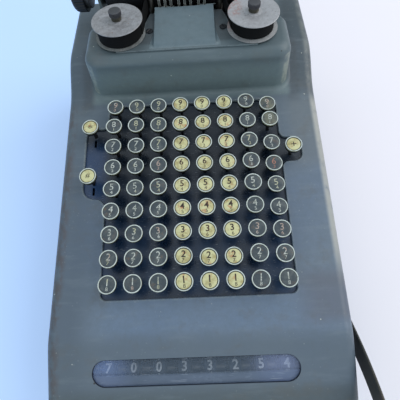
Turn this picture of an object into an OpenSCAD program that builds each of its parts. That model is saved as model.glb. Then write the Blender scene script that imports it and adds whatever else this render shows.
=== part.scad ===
// Hand-operated full-keyboard adding machine with eight columns of keys.
// X runs to the operator's right, Y to the rear, Z up. The origin is the middle
// of the face that the four feet stand on. All sizes are in millimetres.

/* [Case] */
// Width of the case over its side walls
case_w = 230; // [226:1:240]
// Length of the case from front skirt to rear wall
case_l = 384; // [380:1:400]
// Thickness of the pressed case wall
wall = 2; // [1.5:0.25:2.5]
// Radius along the long upper edges of the case
edge_r = 7; // [4:0.5:9]
// Radius of the upright corners of the case
corner_r = 9; // [8:1:20]
// Height of the crease between front panel and keyboard deck
crease_z = 77.4; // [75:0.5:84]
// Length of the front panel seen from above
panel_run = 49.4; // [47:0.2:52]
// Fall of the front panel in degrees
panel_slope = 24; // [22:0.5:26]
// Rise of the keyboard deck in degrees
deck_slope = 8.7; // [8:0.1:9.5]
// Height of the shoulders beside and behind the spool housing
shoulder_z = 127; // [124:1:132]
// Radius where the front panel turns into the skirt
nose_r = 8; // [4:1:10]
// Radius where the shoulders turn into the rear wall
tail_r = 10; // [6:1:14]

/* [Spool housing] */
// Height of the flat top that carries the ribbon spools
hump_z = 151; // [148:1:156]
// Width of the housing below its rounded top edge
hump_w = 178; // [172:1:184]
// Depth of the housing from front face to rear face
hump_d = 52; // [50:1:56]
// Distance from the crease back to the front face
hump_back = 213.6; // [210:0.2:218]
// Radius along the top edge of the housing
hump_edge_r = 8; // [5:0.5:9]
// Radius of the upright corners of the housing
hump_corner_r = 12; // [9:1:14]
// Lean of the housing walls in degrees
hump_draft = 2; // [0:0.5:3]
// Half width of the ribbon well through the housing
well_half = 62; // [60:1:64]
// Half width of the well around the platen
platen_well_half = 74; // [72:1:76]

/* [Keyboard] */
// Columns of number keys
key_cols = 8; // [8]
// Rows of number keys
key_rows = 9; // [9]
// Distance between neighbouring keys both ways
key_pitch = 19.05; // [18.9:0.05:19.1]
// Distance from the crease back to the middle of the key field
key_back = 113.6; // [112:0.2:116]
// Sideways offset of the key field from the middle of the case
key_x = 1; // [0:0.5:2]
// Height of the key tops above the deck
key_rise = 15; // [14:0.5:17]
// Outer radius of a key rim
key_r = 7; // [6.5:0.1:7.4]
// Width of the bright metal rim
key_rim = 1.1; // [0.8:0.1:1.5]
// Height of a key top from rim to underside
key_cap_h = 5; // [4:0.5:6]
// Depth of the dished disc inside the rim
key_dish = 0.5; // [0.3:0.1:0.8]
// Width of a key stem across the machine
stem_w = 1.6; // [1.2:0.1:2]
// Width of a key stem along the machine
stem_l = 3.2; // [2.6:0.1:4]
// Length of a number key stem below its cap
stem_h = 51; // [46:1:54]
// Margin of the deck opening around the outer key rims
opening_gap = 2.1; // [1.5:0.1:3]
// Radius of the corners of the deck opening
opening_r = 5; // [3:0.5:6]
// Distance from the outer key columns out to the ends of the two lobes
lobe_out = 27.9; // [27:0.1:29]

/* [Dials] */
// Radius of a number dial
dial_r = 12.7; // [12:0.1:13.2]
// Width of a number dial
dial_w = 9; // [7:0.5:11]
// Height of the dial shaft
dial_z = 51; // [49:0.5:52]
// Distance from the front of the case back to the dial shaft
dial_back = 33; // [31:0.5:35]
// Sideways offset of the dials from the middle of the case
dial_x = -2.1; // [-3:0.1:0]
// Length of the window slot
window_w = 152.7; // [150:0.5:156]
// Height of the window slot
window_h = 19.3; // [17:0.5:21]
// Distance of the window slot from the crease along the panel
window_drop = 22.1; // [20:0.5:24]
// Thickness of the window lens
lens_t = 1; // [0.8:0.1:1.2]

/* [Printing] */
// Radius of the rubber platen
platen_r = 16.5; // [15:0.5:17]
// Length of the rubber platen
platen_w = 144; // [136:1:146]
// Height of the platen axis
platen_z = 160; // [158:0.5:162]
// Distance from the rear wall forward to the platen axis
platen_fwd = 37.5; // [36:0.5:39]
// Radius of the platen knobs
knob_r = 17; // [15:0.5:18]
// Length of each platen knob
knob_w = 19; // [15:0.5:20]
// Clearance between each side frame and its platen knob
knob_gap = 7.5; // [6:0.5:9]
// Radius of the feed roller under the platen
feed_r = 6; // [5:0.5:6.5]
// Width of a type bar
type_w = 2; // [1.6:0.1:2.4]
// Depth of a type bar
type_d = 5; // [4:0.5:5.5]
// Height of the type bar tips at rest
type_top_z = 163; // [158:1:165]
// Distance between type bars in one group
type_pitch = 5.25; // [5:0.05:5.4]
// Extra distance between groups of three figures
type_group_gap = 1.75; // [1:0.25:2]
// Rise of a type bar from rest to its highest figure
type_rise = 36; // [30:1:38]
// Height of the raised middle of the ribbon cover
cap_h = 4.5; // [4:0.25:6]

/* [Ribbon] */
// Radius of the ribbon spool flanges
spool_r = 21.5; // [20:0.5:22.5]
// Clear width between the spool flanges
spool_gap = 13.3; // [13.1:0.1:14]
// Thickness of a spool flange
flange_t = 0.8; // [0.6:0.1:1]
// Side distance of each spool from the middle of the case
spool_x = 57; // [56:0.5:58]
// Distance from the housing front face back to the spool axis
spool_back = 29; // [28:0.5:31]
// Width of the inked ribbon
ribbon_w = 12.7; // [12:0.1:12.7]
// Thickness of the inked ribbon
ribbon_t = 0.4; // [0.3:0.1:0.5]
// Radius of the ribbon wound on the left spool
left_roll_r = 19; // [15:0.5:19.5]
// Radius of the ribbon wound on the right spool
right_roll_r = 18; // [15:0.5:19.5]

/* [Handle] */
// Height of the handle shaft
handle_z = 28; // [26:0.5:30]
// Distance from the front of the case back to the handle shaft
handle_back = 83; // [80:0.5:86]
// Radius of the handle shaft
handle_shaft_r = 5; // [4.5:0.25:5.5]
// Thickness of the flat steel handle arm
arm_t = 1.6; // [1.4:0.1:4]
// Gap between the case side and the handle arm
arm_gap = 5.6; // [3.5:0.1:7]
// Length of the hand grip
grip_w = 78; // [60:1:90]
// Largest radius of the hand grip
grip_r = 12; // [10:0.5:14]

/* [Frame] */
// Height of the rubber feet
foot_h = 6; // [4:0.5:8]
// Radius of the rubber feet
foot_r = 9; // [7:0.5:10]
// Thickness of the base pan
pan_t = 2; // [1.5:0.25:2.5]
// Clearance between the outermost dial gear and the side frame
frame_gap = 1.7; // [1.2:0.1:2.2]
// Thickness of the side frames
frame_t = 2.5; // [2:0.25:3]
// Radius of the tie rods
rod_r = 3; // [2.5:0.25:3.5]
// Clearance on each side of a running shaft
run_gap = 0.05; // [0.03:0.01:0.08]
// Clearance between pieces that only pass each other
pass_gap = 0.4; // [0.3:0.05:0.5]

/* [Hidden] */
$fn = 48;

// Finishes, as colours
paint = [0.40, 0.45, 0.49];
dark_paint = [0.13, 0.16, 0.20];
steel = [0.62, 0.62, 0.64];
dull_steel = [0.45, 0.43, 0.42];
rubber = [0.10, 0.10, 0.11];
brass = [0.72, 0.58, 0.30];
cream = [0.86, 0.80, 0.56];

// Case outline along the machine
front_y = -case_l / 2;
rear_y = case_l / 2;
crease_y = front_y + panel_run;
pan_z = foot_h + pan_t;
rise_run = 49;
rise_y = hump_front_y() - 3;
function deck_z(y) = crease_z + (y - crease_y) * tan(deck_slope);
function hump_front_y() = crease_y + hump_back;
function ease(t) = t * t * (3 - 2 * t);
function panel_z(y) = crease_z - (crease_y - y) * tan(panel_slope);

// Nose turns from the skirt into the front panel
nose_end = nose_r * (1 - sin(panel_slope));
nose_top = panel_z(front_y + nose_end);
function nose_point(a) = [
    front_y + nose_r * (1 - cos(a)),
    nose_top - nose_r * (cos(panel_slope) - sin(a))
];
function tail_point(a) = [rear_y - tail_r * (1 - sin(a)), shoulder_z - tail_r * (1 - cos(a))];
function rise_point(t) = [
    rise_y + t * rise_run,
    deck_z(rise_y) * (1 - ease(t)) + shoulder_z * ease(t) + tan(deck_slope) * rise_run * t * (1 - t) * (1 - t)
];
crease_soft = 3;
case_profile = concat(
    [for (i = [0:5]) nose_point((90 - panel_slope) * i / 5)],
    [[crease_y - crease_soft, panel_z(crease_y - crease_soft)]],
    [[crease_y, crease_z - crease_soft * (tan(panel_slope) - tan(deck_slope)) / 4]],
    [[crease_y + crease_soft, deck_z(crease_y + crease_soft)]],
    [for (i = [0:9]) rise_point(i / 9)],
    [for (i = [0:5]) tail_point(90 * i / 5)]
);

// Key field on the deck
key_y = crease_y + key_back;
key_z = deck_z(key_y) + key_rise / cos(deck_slope);
key_half_w = (key_cols - 1) / 2 * key_pitch;
key_half_l = (key_rows - 1) / 2 * key_pitch;
opening_half_w = key_half_w + key_r + opening_gap;
opening_half_l = key_half_l + key_r + opening_gap + 1.2;
plate_top = -key_rise - wall - 0.5;
plate_t = 1.5;
plate_margin = 4.5;
guide_top = plate_top - 27;
slot_gap = pass_gap;
latch_drop = 7.6;
latch_w = 2;
latch_l = 7;
plate_front_y = key_y - (opening_half_l + plate_margin) * cos(deck_slope);
function plate_seat_z(y) = key_z + (y - key_y) * tan(deck_slope) + (plate_top - plate_t) / cos(deck_slope);
left_lobe = [-3, 64];
right_lobe = [23.5, 46.5];
lobe_reach = key_half_w + lobe_out;
lobe_corner_r = opening_r + 2;
lobe_sweep_r = opening_r + 1;
left_low_corner_r = 10.5;
left_low_sweep_r = lobe_reach + key_x - opening_half_w - left_low_corner_r - 0.1;
upper_left_spot = [key_u(1) - 21.3, 58.3];
lower_left_spot = [key_u(1) - 20.4, 12.3];
right_spot = [key_u(key_cols) + 17.1, 31.7];
function_stem_h = 26;
// Keys that sit low in the machine as found: column, row and depth
low_keys = [[8, 9, 4], [8, 7, 4], [8, 6, 4], [8, 5, 4], [8, 4, 4], [8, 3, 1.5], [5, 2, 3], [6, 2, 3]];
// Keys whose heads sit off their bent stems: column, row, and shift to the right and to the rear
bent_keys = [
    [8, 2, 0, -1.1], [8, 3, 0, -1.1], [8, 4, 0, -1.3], [8, 5, 0, -1.1], [8, 6, 0, -1.6], [8, 7, 0, -1.3],
    [8, 9, 0, -1.1], [5, 2, 0, -1.1], [6, 2, 0, -1.1], [7, 1, -0.6, -0.6], [8, 1, 0.4, -0.4],
    [1, 7, -0.5, 0.3], [1, 8, -0.6, 0.8], [2, 8, -0.4, 0.7], [1, 9, 0, 0.6]
];
function key_u(col) = key_x + (col - (key_cols + 1) / 2) * key_pitch;
function key_v(row) = (row - (key_rows + 1) / 2) * key_pitch;
function key_sink(col, row) = max(concat([0], [for (k = low_keys) if (k[0] == col && k[1] == row) k[2]]));
function key_bend(col, row) = [for (k = bent_keys) if (k[0] == col && k[1] == row) [k[2], k[3], 0]];

// Dials and window
dial_y = front_y + dial_back;
dial_pitch = key_pitch;
dial_shaft_r = 3;
dial_gear_r = 7;
dial_gear_w = 3;
dial_teeth = 10;
collar_w = dial_pitch - dial_w - dial_gear_w - 0.4;
window_x = -3.1;
lens_gap = 0.3;
lens_lap = 5;
function dial_u(i) = dial_x + (i - (key_cols + 1) / 2) * dial_pitch;
dial_reach = max(dial_u(key_cols) + dial_w / 2, dial_gear_w + dial_w / 2 - dial_u(1));

// Spool housing
hump_y0 = hump_front_y();
hump_y1 = hump_y0 + hump_d;
hump_foot_z = deck_z(hump_y0) - 12;
cover_t = 1.5;
well_front_y = hump_y0 + 28;
well_neck_half = 42;
well_neck_l = 20;
tongue_half = 37;
tongue_l = 9;
well_step_y = hump_y1 + 13;
well_rear_y = rear_y - 19;
cover_front_y = hump_y0 + 7.5;
cover_rear_y = hump_y0 + 56;
cover_half = 60;
cover_waist = 41;
cover_waist_y = hump_y0 + 28;
cover_tail = 32.5;
cover_screw_x = 32;
cover_screw_y = hump_y0 + 31.5;
cap_left = -28.2;
cap_right = 25.2;
cap_front_y = hump_y0 + 9;
cap_rear_y = hump_y0 + 57.4;
cap_mid_x = (cap_left + cap_right) / 2;
cap_wall = 1.5;
screw_r = 1.5;
thread_gap = 0.1;
screw_gap = 0.3;
cover_screw_l = 8;
cover_screw_head_r = 3.2;
cover_screw_head_h = 1.2;
cover_screw_slot = 0.9;

// Spools
spool_y = hump_y0 + spool_back;
spool_z = hump_z + cover_t + 0.3;
spool_h = 2 * flange_t + spool_gap;
hub_r = 7;
stud_r = 3;
stud_foot = 9;
nut_neck_r = 4.3;
nut_head_r = 5.2;
nut_neck_h = 3.6;
nut_head_h = 4.4;
stud_nut_r = 5.5;
stud_nut_h = 3;
ribbon_z = spool_z + flange_t + (spool_gap - ribbon_w) / 2;
ribbon_gap = 0.3;

// Platen and type bars
platen_y = rear_y - platen_fwd;
platen_shaft_r = 4;
feed_gap = 0.15;
feed_shaft_r = 2;
feed_z = platen_z - platen_r - feed_r - feed_gap;
knob_round = 5;
knob_ribs = 30;
guide_space = 1.6;
guide_t = 1;
type_y = platen_y - platen_r - 8.5;
type_x = -3.1;
guide_h = 6;
guide_margin = 4.5;
guide_levels = [72, 112];
figure_pitch = 4;
type_foot_z = guide_levels[0] - 12 - type_rise;
rack_pitch = 4;
rack_teeth = 9;
post_r = 2.2;
post_stub_r = 1.5;
post_nut_r = 3.4;
post_nut_h = 2.5;
post_x = 31;
post_y = type_y + type_d + 1.1 - post_r;
function type_group(i) = i < 4 ? 0 : (i < 7 ? 1 : 2);
function type_u(i) = type_x + (i - 4.5) * type_pitch + (type_group(i) - 1) * type_group_gap;

// Frame
frame_x = dial_reach + frame_gap;
frame_out = frame_x + frame_t;
knob_in = frame_out + knob_gap;
foot_side_in = 14.5;
foot_end_in = 24;
foot_x = case_w / 2 - foot_side_in;
foot_y = case_l / 2 - foot_end_in;
boss_r = 6;
boss_top = foot_h + 34;
foot_screw_l = 24;
foot_screw_head_r = 3.4;
foot_screw_head_h = 2;
pan_gap = 0.3;
rib_end = case_w / 2 - wall / 2;
upright_half = 11.5;
upright_top = platen_z + 8;
rods = [[front_y + 50, 20], [12, 18], [rear_y - 36, 24], [hump_y0 + 20, 110]];

// Handle
handle_y = front_y + handle_back;
arm_x = case_w / 2 + arm_gap;
bush_r = 7;
bush_flange_r = 10;
bush_flange_t = 2;
arm_lift = 34;
arm_straight = 45;
arm_bend_r = 220;
arm_l = 144;
arm_w0 = 20;
arm_w1 = 15;
arm_hub_r = 15;
grip_at = arm_mid(arm_l);
grip_pin_r = 3;
grip_end = arm_x + arm_t + 0.4 + grip_w;
nut_t = 4.5;
nut_r = 9;
drive_x = frame_x - 5;
drive_t = 3;
drive_r = 18;

// Return spring on the handle shaft
wire_r = 1.2;
coil_r = handle_shaft_r + wire_r + 0.6;
coil_x0 = frame_out + wire_r + 0.3;
coil_x1 = case_w / 2 - wall - 3 - wire_r - 0.6;
coil_turns = 7;
coil_steps = 140;

// A rectangle with rounded corners, centred
module round_rect(w, l, r) {
    square([w - 2 * r, l], center = true);
    square([w, l - 2 * r], center = true);
    for (sx = [-1, 1], sy = [-1, 1])
        translate([sx * (w / 2 - r), sy * (l / 2 - r)]) circle(r);
}

// Local frame of the keyboard: x across, y up the deck, z out of it from the key tops
module on_deck() {
    translate([0, key_y, key_z]) rotate([deck_slope, 0, 0]) children();
}

// Local frame of the front panel: y up the panel from the crease, z out of it
module on_panel() {
    translate([0, crease_y, crease_z]) rotate([panel_slope, 0, 0]) children();
}

// A cylinder along X between two places
module bar_x(x0, x1, y, z, r) {
    translate([x0, y, z]) rotate([0, 90, 0]) cylinder(h = x1 - x0, r = r);
}

// A flat plate across X cut from an outline in Y and Z
module plate_x(x0, t) {
    translate([x0, 0, 0]) rotate([90, 0, 90]) linear_extrude(t) children();
}

// Skin of a body lofted through rings of equal length
module loft(rings) {
    n = len(rings[0]);
    m = len(rings);
    points = [for (ring = rings) each ring];
    sides = [for (j = [0:m - 2], i = [0:n - 1])
        [j * n + i, j * n + (i + 1) % n, (j + 1) * n + (i + 1) % n, (j + 1) * n + i]];
    polyhedron(
        points = points,
        faces = concat(sides, [[for (i = [n - 1:-1:0]) i]], [[for (i = [0:n - 1]) (m - 1) * n + i]])
    );
}

// One cross section of the case at a station along Y
edge_steps = 5;
function case_ring(y, z, half, r, z0) = concat(
    [[half, y, z0]],
    [for (i = [0:edge_steps]) let (a = 90 * i / edge_steps) [half - r + r * cos(a), y, z - r + r * sin(a)]],
    [for (i = [0:edge_steps]) let (a = 90 * i / edge_steps) [-half + r - r * sin(a), y, z - r + r * cos(a)]],
    [[-half, y, z0]]
);

module case_block(inset, z0) {
    loft([for (p = case_profile) case_ring(p[0], p[1] - inset, case_w / 2 - inset, edge_r - inset / 2, z0)]);
}

// One level outline of the spool housing
hump_steps = 5;
function hump_ring(z, inset) = let (
    lean = (hump_z - z) * tan(hump_draft),
    hw = hump_w / 2 + lean - inset,
    y0 = hump_y0 - lean + inset,
    y1 = hump_y1 + lean - inset,
    r = hump_corner_r - inset / 2
) [for (c = [[1, 1, 0], [-1, 1, 90], [-1, -1, 180], [1, -1, 270]], i = [0:hump_steps]) [
    c[0] * (hw - r) + r * cos(c[2] + 90 * i / hump_steps),
    (c[1] > 0 ? y1 - r : y0 + r) + r * sin(c[2] + 90 * i / hump_steps),
    z
]];

module hump_block(inset, z0) {
    r = hump_edge_r - inset / 2;
    top = hump_z - inset;
    loft(concat(
        [for (i = [6:-1:0]) let (a = 90 * i / 6) hump_ring(top - r + r * sin(a), inset + r * (1 - cos(a)))],
        [hump_ring(z0, inset)]
    ));
}

module plan_column(inset, z0, z1) {
    translate([0, 0, z0]) linear_extrude(z1 - z0)
        round_rect(case_w - 2 * inset, case_l - 2 * inset, corner_r - inset);
}

// Outline of the deck opening, or of a plate that laps under it
module opening_shape(grow) {
    r = opening_r;
    translate([key_x, 0]) round_rect(2 * (opening_half_w + grow), 2 * (opening_half_l + grow), r);
    difference() {
        lobe(-1, left_lobe, grow);
        translate([-lobe_reach - grow, left_lobe[0] - grow]) scale_corner(1, 1, left_low_corner_r + grow);
    }
    lobe(1, right_lobe, grow);
}

module lobe(side, span, grow) {
    mid = (span[0] + span[1]) / 2;
    reach = lobe_reach + grow;
    translate([side * reach / 2, mid]) round_rect(reach, span[1] - span[0] + 2 * grow, lobe_corner_r);
}

// The inner corners where a lobe meets the opening are swept by arcs
module lobe_sweeps() {
    sweeps = [
        [-1, left_lobe[0], -1, left_low_sweep_r], [-1, left_lobe[1], 1, lobe_sweep_r],
        [1, right_lobe[0], -1, lobe_sweep_r], [1, right_lobe[1], 1, lobe_sweep_r]
    ];
    for (c = sweeps) translate([key_x + c[0] * opening_half_w, c[1]]) scale_corner(c[0], c[2], c[3]);
}

module scale_corner(sx, sy, r) {
    difference() {
        translate([sx > 0 ? -0.01 : -r, sy > 0 ? -0.01 : -r]) square(r + 0.01);
        translate([sx * r, sy * r]) circle(r);
    }
}

module well_shape() {
    polygon([
        [-well_neck_half, well_front_y],
        [-tongue_half, well_front_y], [-tongue_half, well_front_y + tongue_l],
        [tongue_half, well_front_y + tongue_l], [tongue_half, well_front_y],
        [well_neck_half, well_front_y], [well_half, well_front_y + well_neck_l],
        [well_half, well_step_y],
        [platen_well_half, well_step_y], [platen_well_half, well_rear_y], [-platen_well_half, well_rear_y],
        [-platen_well_half, well_step_y], [-well_half, well_step_y], [-well_half, well_front_y + well_neck_l]
    ]);
}

module foot_spots() {
    for (sx = [-1, 1], sy = [-1, 1]) translate([sx * foot_x, sy * foot_y, 0]) children();
}

module case_shell() color(paint) difference() {
    union() {
        difference() {
            union() {
                intersection() {
                    case_block(0, foot_h);
                    plan_column(0, foot_h, hump_z);
                }
                hump_block(0, hump_foot_z);
            }
            intersection() {
                case_block(wall, foot_h - 1);
                plan_column(wall, foot_h - 1, hump_z);
            }
            hump_block(wall, hump_foot_z - wall);
        }
        foot_spots() translate([0, 0, pan_z + pan_gap]) cylinder(h = boss_top - pan_z - pan_gap, r = boss_r);
        for (sx = [-1, 1], sy = [-1, 1])
            translate([sx * (foot_x + rib_end) / 2, sy * foot_y, (boss_top + pan_z + pan_gap) / 2])
                cube([rib_end - foot_x, 5, boss_top - pan_z - pan_gap], center = true);
    }
    foot_spots() translate([0, 0, pan_z - 1]) cylinder(h = foot_screw_l + 2, r = screw_r + thread_gap);
    on_deck() translate([0, 0, -key_rise - 8]) linear_extrude(20) {
        opening_shape(0);
        lobe_sweeps();
    }
    on_panel() translate([window_x, -window_drop, -8]) linear_extrude(20)
        round_rect(window_w, window_h, window_h / 2 - 0.01);
    translate([0, 0, shoulder_z - 14]) linear_extrude(60) well_shape();
    for (s = [-1, 1]) {
        translate([s * (frame_x + frame_t / 2), platen_y, shoulder_z])
            cube([frame_t + 2 * pass_gap, 2 * upright_half + 2 * pass_gap, 3 * wall], center = true);
        translate([s * spool_x, spool_y, hump_z - 3 * wall]) cylinder(h = 6 * wall, r = stud_r + run_gap);
        translate([s * cover_screw_x, cover_screw_y, hump_z - 3 * wall])
            cylinder(h = 6 * wall, r = screw_r + thread_gap);
    }
    bar_x(case_w / 2 - 3 * wall, case_w / 2 + wall, handle_y, handle_z, bush_r + run_gap);
}

module base_pan() color(dark_paint) difference() {
    translate([0, 0, foot_h]) linear_extrude(pan_t)
        round_rect(case_w - 2 * wall - 2 * pan_gap, case_l - 2 * wall - 2 * pan_gap, corner_r - wall);
    foot_spots() translate([0, 0, foot_h - 1]) cylinder(h = pan_t + 2, r = screw_r + screw_gap);
}

module rubber_feet() color(rubber) foot_spots() difference() {
    cylinder(h = foot_h, r1 = foot_r - 1, r2 = foot_r);
    translate([0, 0, -1]) cylinder(h = foot_h + 2, r = screw_r + screw_gap);
    translate([0, 0, -1]) cylinder(h = foot_h / 2 + 1, r = foot_screw_head_r + 2 * screw_gap);
}

module foot_screws() color(steel) foot_spots() {
    translate([0, 0, foot_h / 2 - foot_screw_head_h]) cylinder(h = foot_screw_head_h, r = foot_screw_head_r);
    translate([0, 0, foot_h / 2 - 0.01]) cylinder(h = foot_screw_l, r = screw_r);
}

// Flat cover plate with a hood that is open to the rear
module ribbon_cover() color(paint) difference() {
    union() {
        translate([0, 0, hump_z]) linear_extrude(cover_t) polygon([
            [-cover_half, cover_front_y], [cover_half, cover_front_y], [cover_half, cover_front_y + 1.5],
            [cover_waist, cover_waist_y], [cover_tail, cover_rear_y], [-cover_tail, cover_rear_y],
            [-cover_waist, cover_waist_y], [-cover_half, cover_front_y + 1.5]
        ]);
        translate([0, 0, hump_z + cover_t - 0.01]) cap_block(0);
    }
    translate([0, 0, hump_z - 0.01]) cap_block(cap_wall);
    for (s = [-1, 1]) translate([s * cover_screw_x, cover_screw_y, hump_z - 1])
        cylinder(h = 2 * cover_t + 2, r = screw_r + 2 * thread_gap);
}

// Body of the hood, rounded at its front and along its sides, drawn in by a wall's thickness
module cap_block(inset) {
    half = (cap_right - cap_left) / 2 - inset;
    front = cap_front_y + inset;
    rear = cap_rear_y + 2 * inset;
    hull() for (step = [[0, cap_h - 2.5], [1, cap_h - 0.8], [2.8, cap_h]])
        translate([cap_mid_x - half + step[0], front + 2 * step[0], 0])
            cube([2 * (half - step[0]), rear - front - 2 * step[0], step[1]]);
}

module cover_screws() color(dark_paint) for (s = [-1, 1])
    translate([s * cover_screw_x, cover_screw_y, hump_z + cover_t]) difference() {
        union() {
            cylinder(h = cover_screw_head_h, r = cover_screw_head_r);
            translate([0, 0, -cover_t - cover_screw_l])
                cylinder(h = cover_t + cover_screw_l + 0.01, r = screw_r);
        }
        rotate([0, 0, s * 35]) translate([0, 0, cover_screw_head_h])
            cube([3 * cover_screw_head_r, cover_screw_slot, cover_screw_head_h], center = true);
    }

module window_lens() color([0.75, 0.85, 0.9, 0.5]) on_panel()
    translate([window_x, -window_drop, -wall - lens_gap - lens_t]) linear_extrude(lens_t)
        round_rect(window_w + 2 * lens_lap, window_h + 2 * lens_lap, window_h / 2 + lens_lap - 0.01);

module stem_hole(u, v, w, l) {
    translate([u, v]) square([w + 2 * slot_gap, l + 2 * slot_gap], center = true);
}

module number_stem_holes() {
    for (col = [1:key_cols], row = [1:key_rows]) stem_hole(key_u(col), key_v(row), stem_w, stem_l);
}

module keyboard_plate() color(dark_paint) on_deck() translate([0, 0, plate_top - plate_t])
    linear_extrude(plate_t) difference() {
        opening_shape(plate_margin);
        number_stem_holes();
        for (spot = [upper_left_spot, lower_left_spot, right_spot])
            stem_hole(spot[0], spot[1], stem_w, stem_l);
        for (spot = [upper_left_spot, lower_left_spot])
            translate([spot[0], spot[1] - latch_drop]) square([latch_w, latch_l], center = true);
    }

module key_guide_plate() color(dull_steel) on_deck() translate([0, 0, guide_top - plate_t])
    linear_extrude(plate_t) difference() {
        square([2 * frame_x, 2 * opening_half_l], center = true);
        number_stem_holes();
    }

// One key from its rim down to the foot of its stem, with its head shifted by a bend
module key_shape(stem, bend) {
    translate(bend) difference() {
        union() {
            translate([0, 0, -key_cap_h + 1.5]) cylinder(h = key_cap_h - 1.5, r = key_r);
            translate([0, 0, -key_cap_h]) cylinder(h = 1.51, r = key_r - 1.2);
        }
        translate([0, 0, -key_dish]) cylinder(h = key_dish + 1, r = key_r - key_rim);
    }
    translate([0, 0, -key_cap_h - stem / 2]) cube([stem_w, stem_l, stem + 0.02], center = true);
}

module key_column(col) color(col > 3 && col < 7 ? cream : dull_steel) on_deck()
    for (row = [1:key_rows]) translate([key_u(col), key_v(row), -key_sink(col, row)])
        key_shape(stem_h, concat(key_bend(col, row), [[0, 0, 0]])[0]);

module key_column_1() key_column(1);
module key_column_2() key_column(2);
module key_column_3() key_column(3);
module key_column_4() key_column(4);
module key_column_5() key_column(5);
module key_column_6() key_column(6);
module key_column_7() key_column(7);
module key_column_8() key_column(8);

module function_key(spot) color(cream) on_deck() translate([spot[0], spot[1], 0])
    key_shape(function_stem_h, [0, 0, 0]);

module upper_left_key() function_key(upper_left_spot);
module lower_left_key() function_key(lower_left_spot);
module right_key() function_key(right_spot);

// A figure wheel with its small gear on the left
module number_dial(i) color(rubber) translate([dial_u(i) - dial_w / 2, dial_y, dial_z]) rotate([0, 90, 0])
    difference() {
        union() {
            cylinder(h = dial_w, r = dial_r);
            translate([0, 0, -dial_gear_w]) cylinder(h = dial_gear_w + 0.01, r = dial_gear_r);
            for (k = [0:dial_teeth - 1]) rotate([0, 0, 360 * k / dial_teeth])
                translate([dial_gear_r + 0.6, 0, -dial_gear_w / 2])
                    cube([2.4, 1.8, dial_gear_w], center = true);
        }
        translate([0, 0, -dial_gear_w - 1])
            cylinder(h = dial_w + dial_gear_w + 2, r = dial_shaft_r + run_gap);
        translate([0, 0, dial_w - 2]) difference() {
            cylinder(h = 3, r = dial_r - 2.2);
            translate([0, 0, -1]) cylinder(h = 5, r = dial_shaft_r + 2);
        }
    }

module number_dial_1() number_dial(1);
module number_dial_2() number_dial(2);
module number_dial_3() number_dial(3);
module number_dial_4() number_dial(4);
module number_dial_5() number_dial(5);
module number_dial_6() number_dial(6);
module number_dial_7() number_dial(7);
module number_dial_8() number_dial(8);

module dial_shaft() color(steel) {
    bar_x(-frame_out - 2, frame_out + 2, dial_y, dial_z, dial_shaft_r);
    for (i = [1:8]) {
        side = dial_u(i) + dial_w / 2 + 0.2;
        bar_x(side, side + collar_w, dial_y, dial_z, dial_shaft_r + 1.5);
    }
    for (x = [-frame_out - 2, frame_out + 0.4]) bar_x(x, x + 1.6, dial_y, dial_z, dial_shaft_r + 2);
}

// A flat bar with ten type figures along its upper rear edge and rack teeth below
module type_bar(i) color(dull_steel) {
    x = type_u(i);
    translate([x - type_w / 2, type_y, type_foot_z]) difference() {
        cube([type_w, type_d, type_top_z - type_foot_z]);
        for (k = [0:rack_teeth - 1]) translate([-1, -0.01, 5 + k * rack_pitch])
            cube([type_w + 2, 1.2, rack_pitch / 2]);
    }
    translate([x - type_w / 2 + 0.2, type_y + type_d - 0.01, type_top_z - 2.8])
        for (k = [0:9]) translate([0, 0, -k * figure_pitch]) cube([type_w - 0.4, 0.8, 2.4]);
}

module type_bar_1() type_bar(1);
module type_bar_2() type_bar(2);
module type_bar_3() type_bar(3);
module type_bar_4() type_bar(4);
module type_bar_5() type_bar(5);
module type_bar_6() type_bar(6);
module type_bar_7() type_bar(7);
module type_bar_8() type_bar(8);

module type_bar_guides() color(dull_steel) for (z = guide_levels) translate([0, 0, z]) linear_extrude(guide_h)
    difference() {
        translate([0, type_y + type_d / 2 + 0.4])
            square([2 * frame_x, type_d + 2 * guide_margin], center = true);
        for (i = [1:8]) translate([type_u(i), type_y + (type_d + 0.8) / 2])
            square([type_w + 2 * pass_gap, type_d + 0.8 + 2 * pass_gap], center = true);
        for (s = [-1, 1]) translate([s * post_x, post_y]) circle(post_stub_r + thread_gap);
    }

module platen() color(rubber) difference() {
    bar_x(-platen_w / 2, platen_w / 2, platen_y, platen_z, platen_r);
    bar_x(-platen_w / 2 - 1, platen_w / 2 + 1, platen_y, platen_z, platen_shaft_r + run_gap);
}

module platen_shaft() color(steel) {
    bar_x(-knob_in - knob_w + 3, knob_in + knob_w - 3, platen_y, platen_z, platen_shaft_r);
    for (s = [-1, 1]) {
        a = s * (platen_w / 2 + 0.2);
        b = s * (frame_x - 0.3);
        bar_x(min(a, b), max(a, b), platen_y, platen_z, platen_shaft_r + 2);
    }
}

// Ribbed knob with a rounded outer end, standing along X to the right
module knob_shape() rotate([0, 90, 0]) difference() {
    rotate_extrude() {
        square([knob_r, knob_w - knob_round]);
        square([knob_r - knob_round, knob_w]);
        translate([knob_r - knob_round, knob_w - knob_round]) circle(knob_round);
    }
    translate([0, 0, -1]) cylinder(h = knob_w - 2, r = platen_shaft_r + run_gap);
    translate([0, 0, -1]) difference() {
        cylinder(h = 3, r = knob_r - 3);
        translate([0, 0, -1]) cylinder(h = 5, r = platen_shaft_r + 3);
    }
    for (k = [0:knob_ribs - 1]) rotate([0, 0, 360 * k / knob_ribs])
        translate([knob_r + 0.5, 0, -1]) cylinder(h = knob_w - knob_round - 0.5, r = 1.1);
}

module left_platen_knob() mirror([1, 0, 0]) right_platen_knob();
module right_platen_knob() color(rubber) translate([knob_in, platen_y, platen_z]) knob_shape();

module feed_roller() color(rubber) {
    bar_x(-frame_out - 1.5, frame_out + 1.5, platen_y, feed_z, feed_shaft_r);
    for (i = [-1:1]) bar_x(i * 40 - 12, i * 40 + 12, platen_y, feed_z, feed_r);
}

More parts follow.
